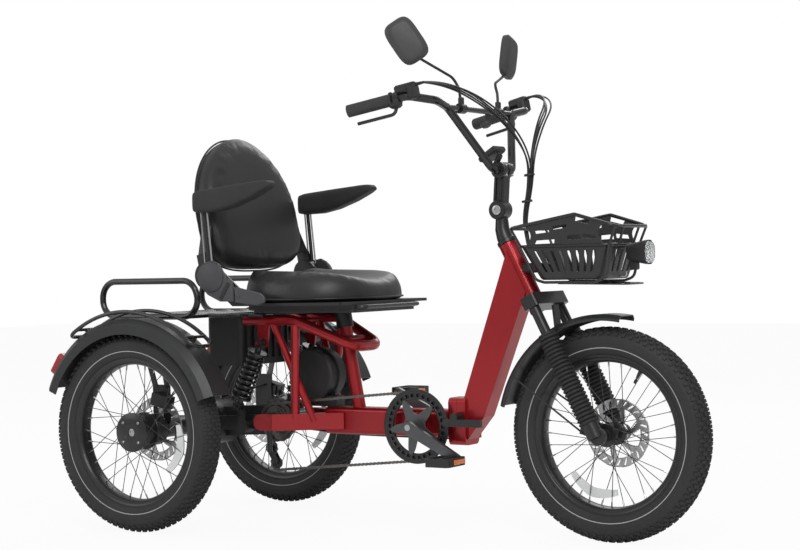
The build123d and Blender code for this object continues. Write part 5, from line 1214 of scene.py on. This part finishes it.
# Controls at the bar: a reservoir and a switch pod each side, and a bell under the crossbar
controls = []
for side in (-1, 1):
    inner, outer = at(880, side * 300, 1164), at(721, side * 330, 1133)
    along = (outer - inner) / np.linalg.norm(outer - inner)
    controls.append(block(inner + upward * 0.021 + along * 0.004, along, across, (0.060, 0.024, 0.022),
        0.004))
    controls.append(block(inner + upward * 0.006 - along * 0.016, along, across, (0.026, 0.036, 0.038),
        0.005))
    controls.append(block(inner - upward * 0.014 + along * 0.034, along, across, (0.030, 0.030, 0.020),
        0.005))
    controls.append(tubeAlong([inner + upward * 0.024 - along * 0.026,
        inner + upward * 0.024 - along * 0.048], [0.005, 0.0032], 12))
controls.append(turned(at(905, 58, 1112), (0.4, 0, -1),
    [(0, 0.016), (0.006, 0.0155), (0.013, 0.011), (0.016, 0.002)], 32) + (1,))
controls.append(block(at(914, 58, 1124), forwardAxis, across, (0.016, 0.012, 0.030), 0.003))
makePiece("barControls", controls, ("blackPlastic", "mirrorBack"), "steering")


# Cables: each is one smooth spline guided by loose points, with ties round the bundle on its way down
def addCable(name, route, diameter, body):
    curve = bpy.data.curves.new(name, "CURVE")
    curve.dimensions = "3D"
    spline = curve.splines.new("NURBS")
    spline.points.add(len(route) - 1)
    for point, place in zip(spline.points, route):
        point.co = (*at(*place), 1)
    spline.order_u = 3
    spline.use_endpoint_u = True
    spline.resolution_u = 8
    curve.bevel_depth = diameter / 2
    curve.bevel_resolution = 3
    curve.materials.append(paints["cable"])
    piece = bpy.data.objects.new(name, curve)
    bpy.context.scene.collection.objects.link(piece)
    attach(piece, body)


rightRoute = ((924, -291, 1196), (966, -262, 1190), (1014, -180, 1150), (1034, -50, 1090), (1056, 20, 1010),
    (1056, 20, 930), (1040, 16, 850),
              (1046, 12, 800), (1062, 8, 742))
leftRoute = ((924, 291, 1196), (972, 262, 1192), (1030, 190, 1150), (1056, 84, 1090), (1060, 32, 1010),
    (1058, 26, 930), (1042, 20, 850),
             (1047, 14, 800), (1062, 11, 742))
strands = ((0, 0, 0), (5, 4, 5), (-5, 3, 9), (1, -5, 4))
looseness = (0.15, 1.0, 2.2, 1.8, 0.9, 0.7, 0.6, 0.6, 0.4)
for sideName, route in (("right", rightRoute), ("left", leftRoute)):
    for number, (ahead, left, up) in enumerate(strands):
        loose = [(x + ahead * e, y + left * e, z + up * e) for (x, y, z), e in zip(route, looseness)]
        addCable("cable_" + sideName + "_" + str(number), loose, 0.005, "steering")
ties = []
for x, y, z in ((1055, 24, 965), (1048, 21, 895), (1043, 17, 832)):
    ties.append(turned(at(x, y, z), (0.12, 0, -1),
        [(0, 0.0125), (0, 0.0145), (0.005, 0.0145), (0.005, 0.0125)], 20))
makePiece("cableTies", ties, "blackPlastic", "steering")
rearLeft = ((8, 236, 372), (-62, 200, 350), (-88, 150, 270), (-50, 88, 240), (60, 76, 256), (250, 76, 262),
    (338, 72, 258), (456, 23, 253), (812, 23, 253))
rearRight = ((8, -236, 372), (-62, -200, 350), (-92, -130, 300), (-92, 26, 292), (-72, 54, 250),
    (-20, 62, 240), (60, 62, 256), (250, 62, 262), (330, 60, 258),
             (450, 14, 253), (812, 14, 253))
addCable("rearCable_left", rearLeft, 0.006, "chassis")
addCable("rearCable_right", rearRight, 0.006, "chassis")
print("stem, display, mirrors and cables made")

# Pedal drive: a slotted guard ring, a toothed ring behind it, a five-armed spider and tapered crank arms
pedalAxle = at(733, 0, 290)
crank = {"swing": 28, "length": 0.170, "bigEnd": 0.018, "smallEnd": 0.0125, "thick": 0.014, "left": 0.096,
         "starFoot": 0.034, "starReach": 0.045, "starWidth": 0.25, "starThick": 0.005, "starLeft": 0.064, "arms": 5}


def polarPlate(left, radii, outline, holes=None, count=360):
    # a polar grid about the pedal axle; the last radius is multiplied by the outline wave
    angle = np.arange(count) / count * math.tau
    radii = np.asarray(radii)
    r = np.broadcast_to(radii[None], (count, len(radii))).copy()
    r[:, -1] *= outline(angle)
    grid = aroundAxle(angle, r, left) + pedalAxle
    keep = np.ones((count, len(radii) - 1), bool)
    if holes:
        low, top, number, share = holes
        middle = (radii[1:] + radii[:-1]) / 2
        keep = ~((np.cos(angle * number) > share)[:, None] & ((middle > low) & (middle < top))[None])
    return sheetShape(grid, keep, wrapRows=True)


guard = polarPlate(-0.0575, (0.074, 0.076, 0.080, 0.084, 0.088, 0.094, 0.100, 0.102),
    lambda a: np.ones_like(a), (0.080, 0.088, 30, -0.1))
teeth = polarPlate(-0.052, (0.074, 0.080, 0.086, 0.090, 0.0925), lambda a: 1 + 0.018 * np.cos(a * 46),
    count=552)
makePlate("guardRing", [guard, teeth], "satinBlack", "crank", 0.0028, ["chain_wheel"])
turnTo = np.linspace(0, math.tau, 240, endpoint=False)
halfStep = math.pi / crank["arms"]
fromArm = (turnTo + math.radians(crank["swing"]) + halfStep) % (math.tau / crank["arms"]) - halfStep
starRadius = crank["starFoot"] + crank["starReach"] * np.exp(-(fromArm / crank["starWidth"]) ** 2)
starOutline = np.stack([np.cos(turnTo) * starRadius, np.sin(turnTo) * starRadius], -1)
star = slab(starOutline, crank["starThick"], pedalAxle - across * crank["starLeft"], forwardAxis, upward, 0.001)


def armShape(side):
    # the arm narrows from the axle to the pedal end, both ends round
    swing = math.radians(crank["swing"])
    along = np.array([math.cos(swing), 0, -math.sin(swing)]) * -side
    square = np.cross(across, along)
    a = np.linspace(math.pi / 2, 3 * math.pi / 2, 16)
    big = np.stack([np.cos(a) * crank["bigEnd"], np.sin(a) * crank["bigEnd"]], -1)
    small = np.stack([crank["length"] - np.cos(a) * crank["smallEnd"], -np.sin(a) * crank["smallEnd"]], -1)
    middle = pedalAxle + across * side * crank["left"]
    return slab(np.concatenate([big, small]), crank["thick"], middle, along, square, 0.003)


crankParts = [star, armShape(-1), armShape(1),
    turned(pedalAxle - across * 0.098, across, [(0, 0.0098), (0.196, 0.0098)], 28) + (1,)]
for side in (-1, 1):
    cap = pedalAxle + across * side * 0.1025
    crankParts.append(turned(cap, across * side, [(0, 0.0085), (0.0008, 0.0085), (0.0010, 0.0070),
        (0.0006, 0.0035)], 24) + (2,))
makePiece("crankArms", crankParts, ("crankGrey", "satinBlack", "steel"), "crank", ["crankset"])
for sideName, side, place in (("right", -1, (883.1, -147, 210.2)), ("left", 1, (582.9, 147, 369.8))):
    lights = [block(at(place[0] + end * 37.6, place[1], place[2]), forwardAxis, across,
        (0.0034, 0.056, 0.013), 0.001) for end in (-1, 1)]
    makePiece("pedalReflector_" + sideName, lights, "amber", "pedal_" + sideName + "_body")
print("pedal drive made")
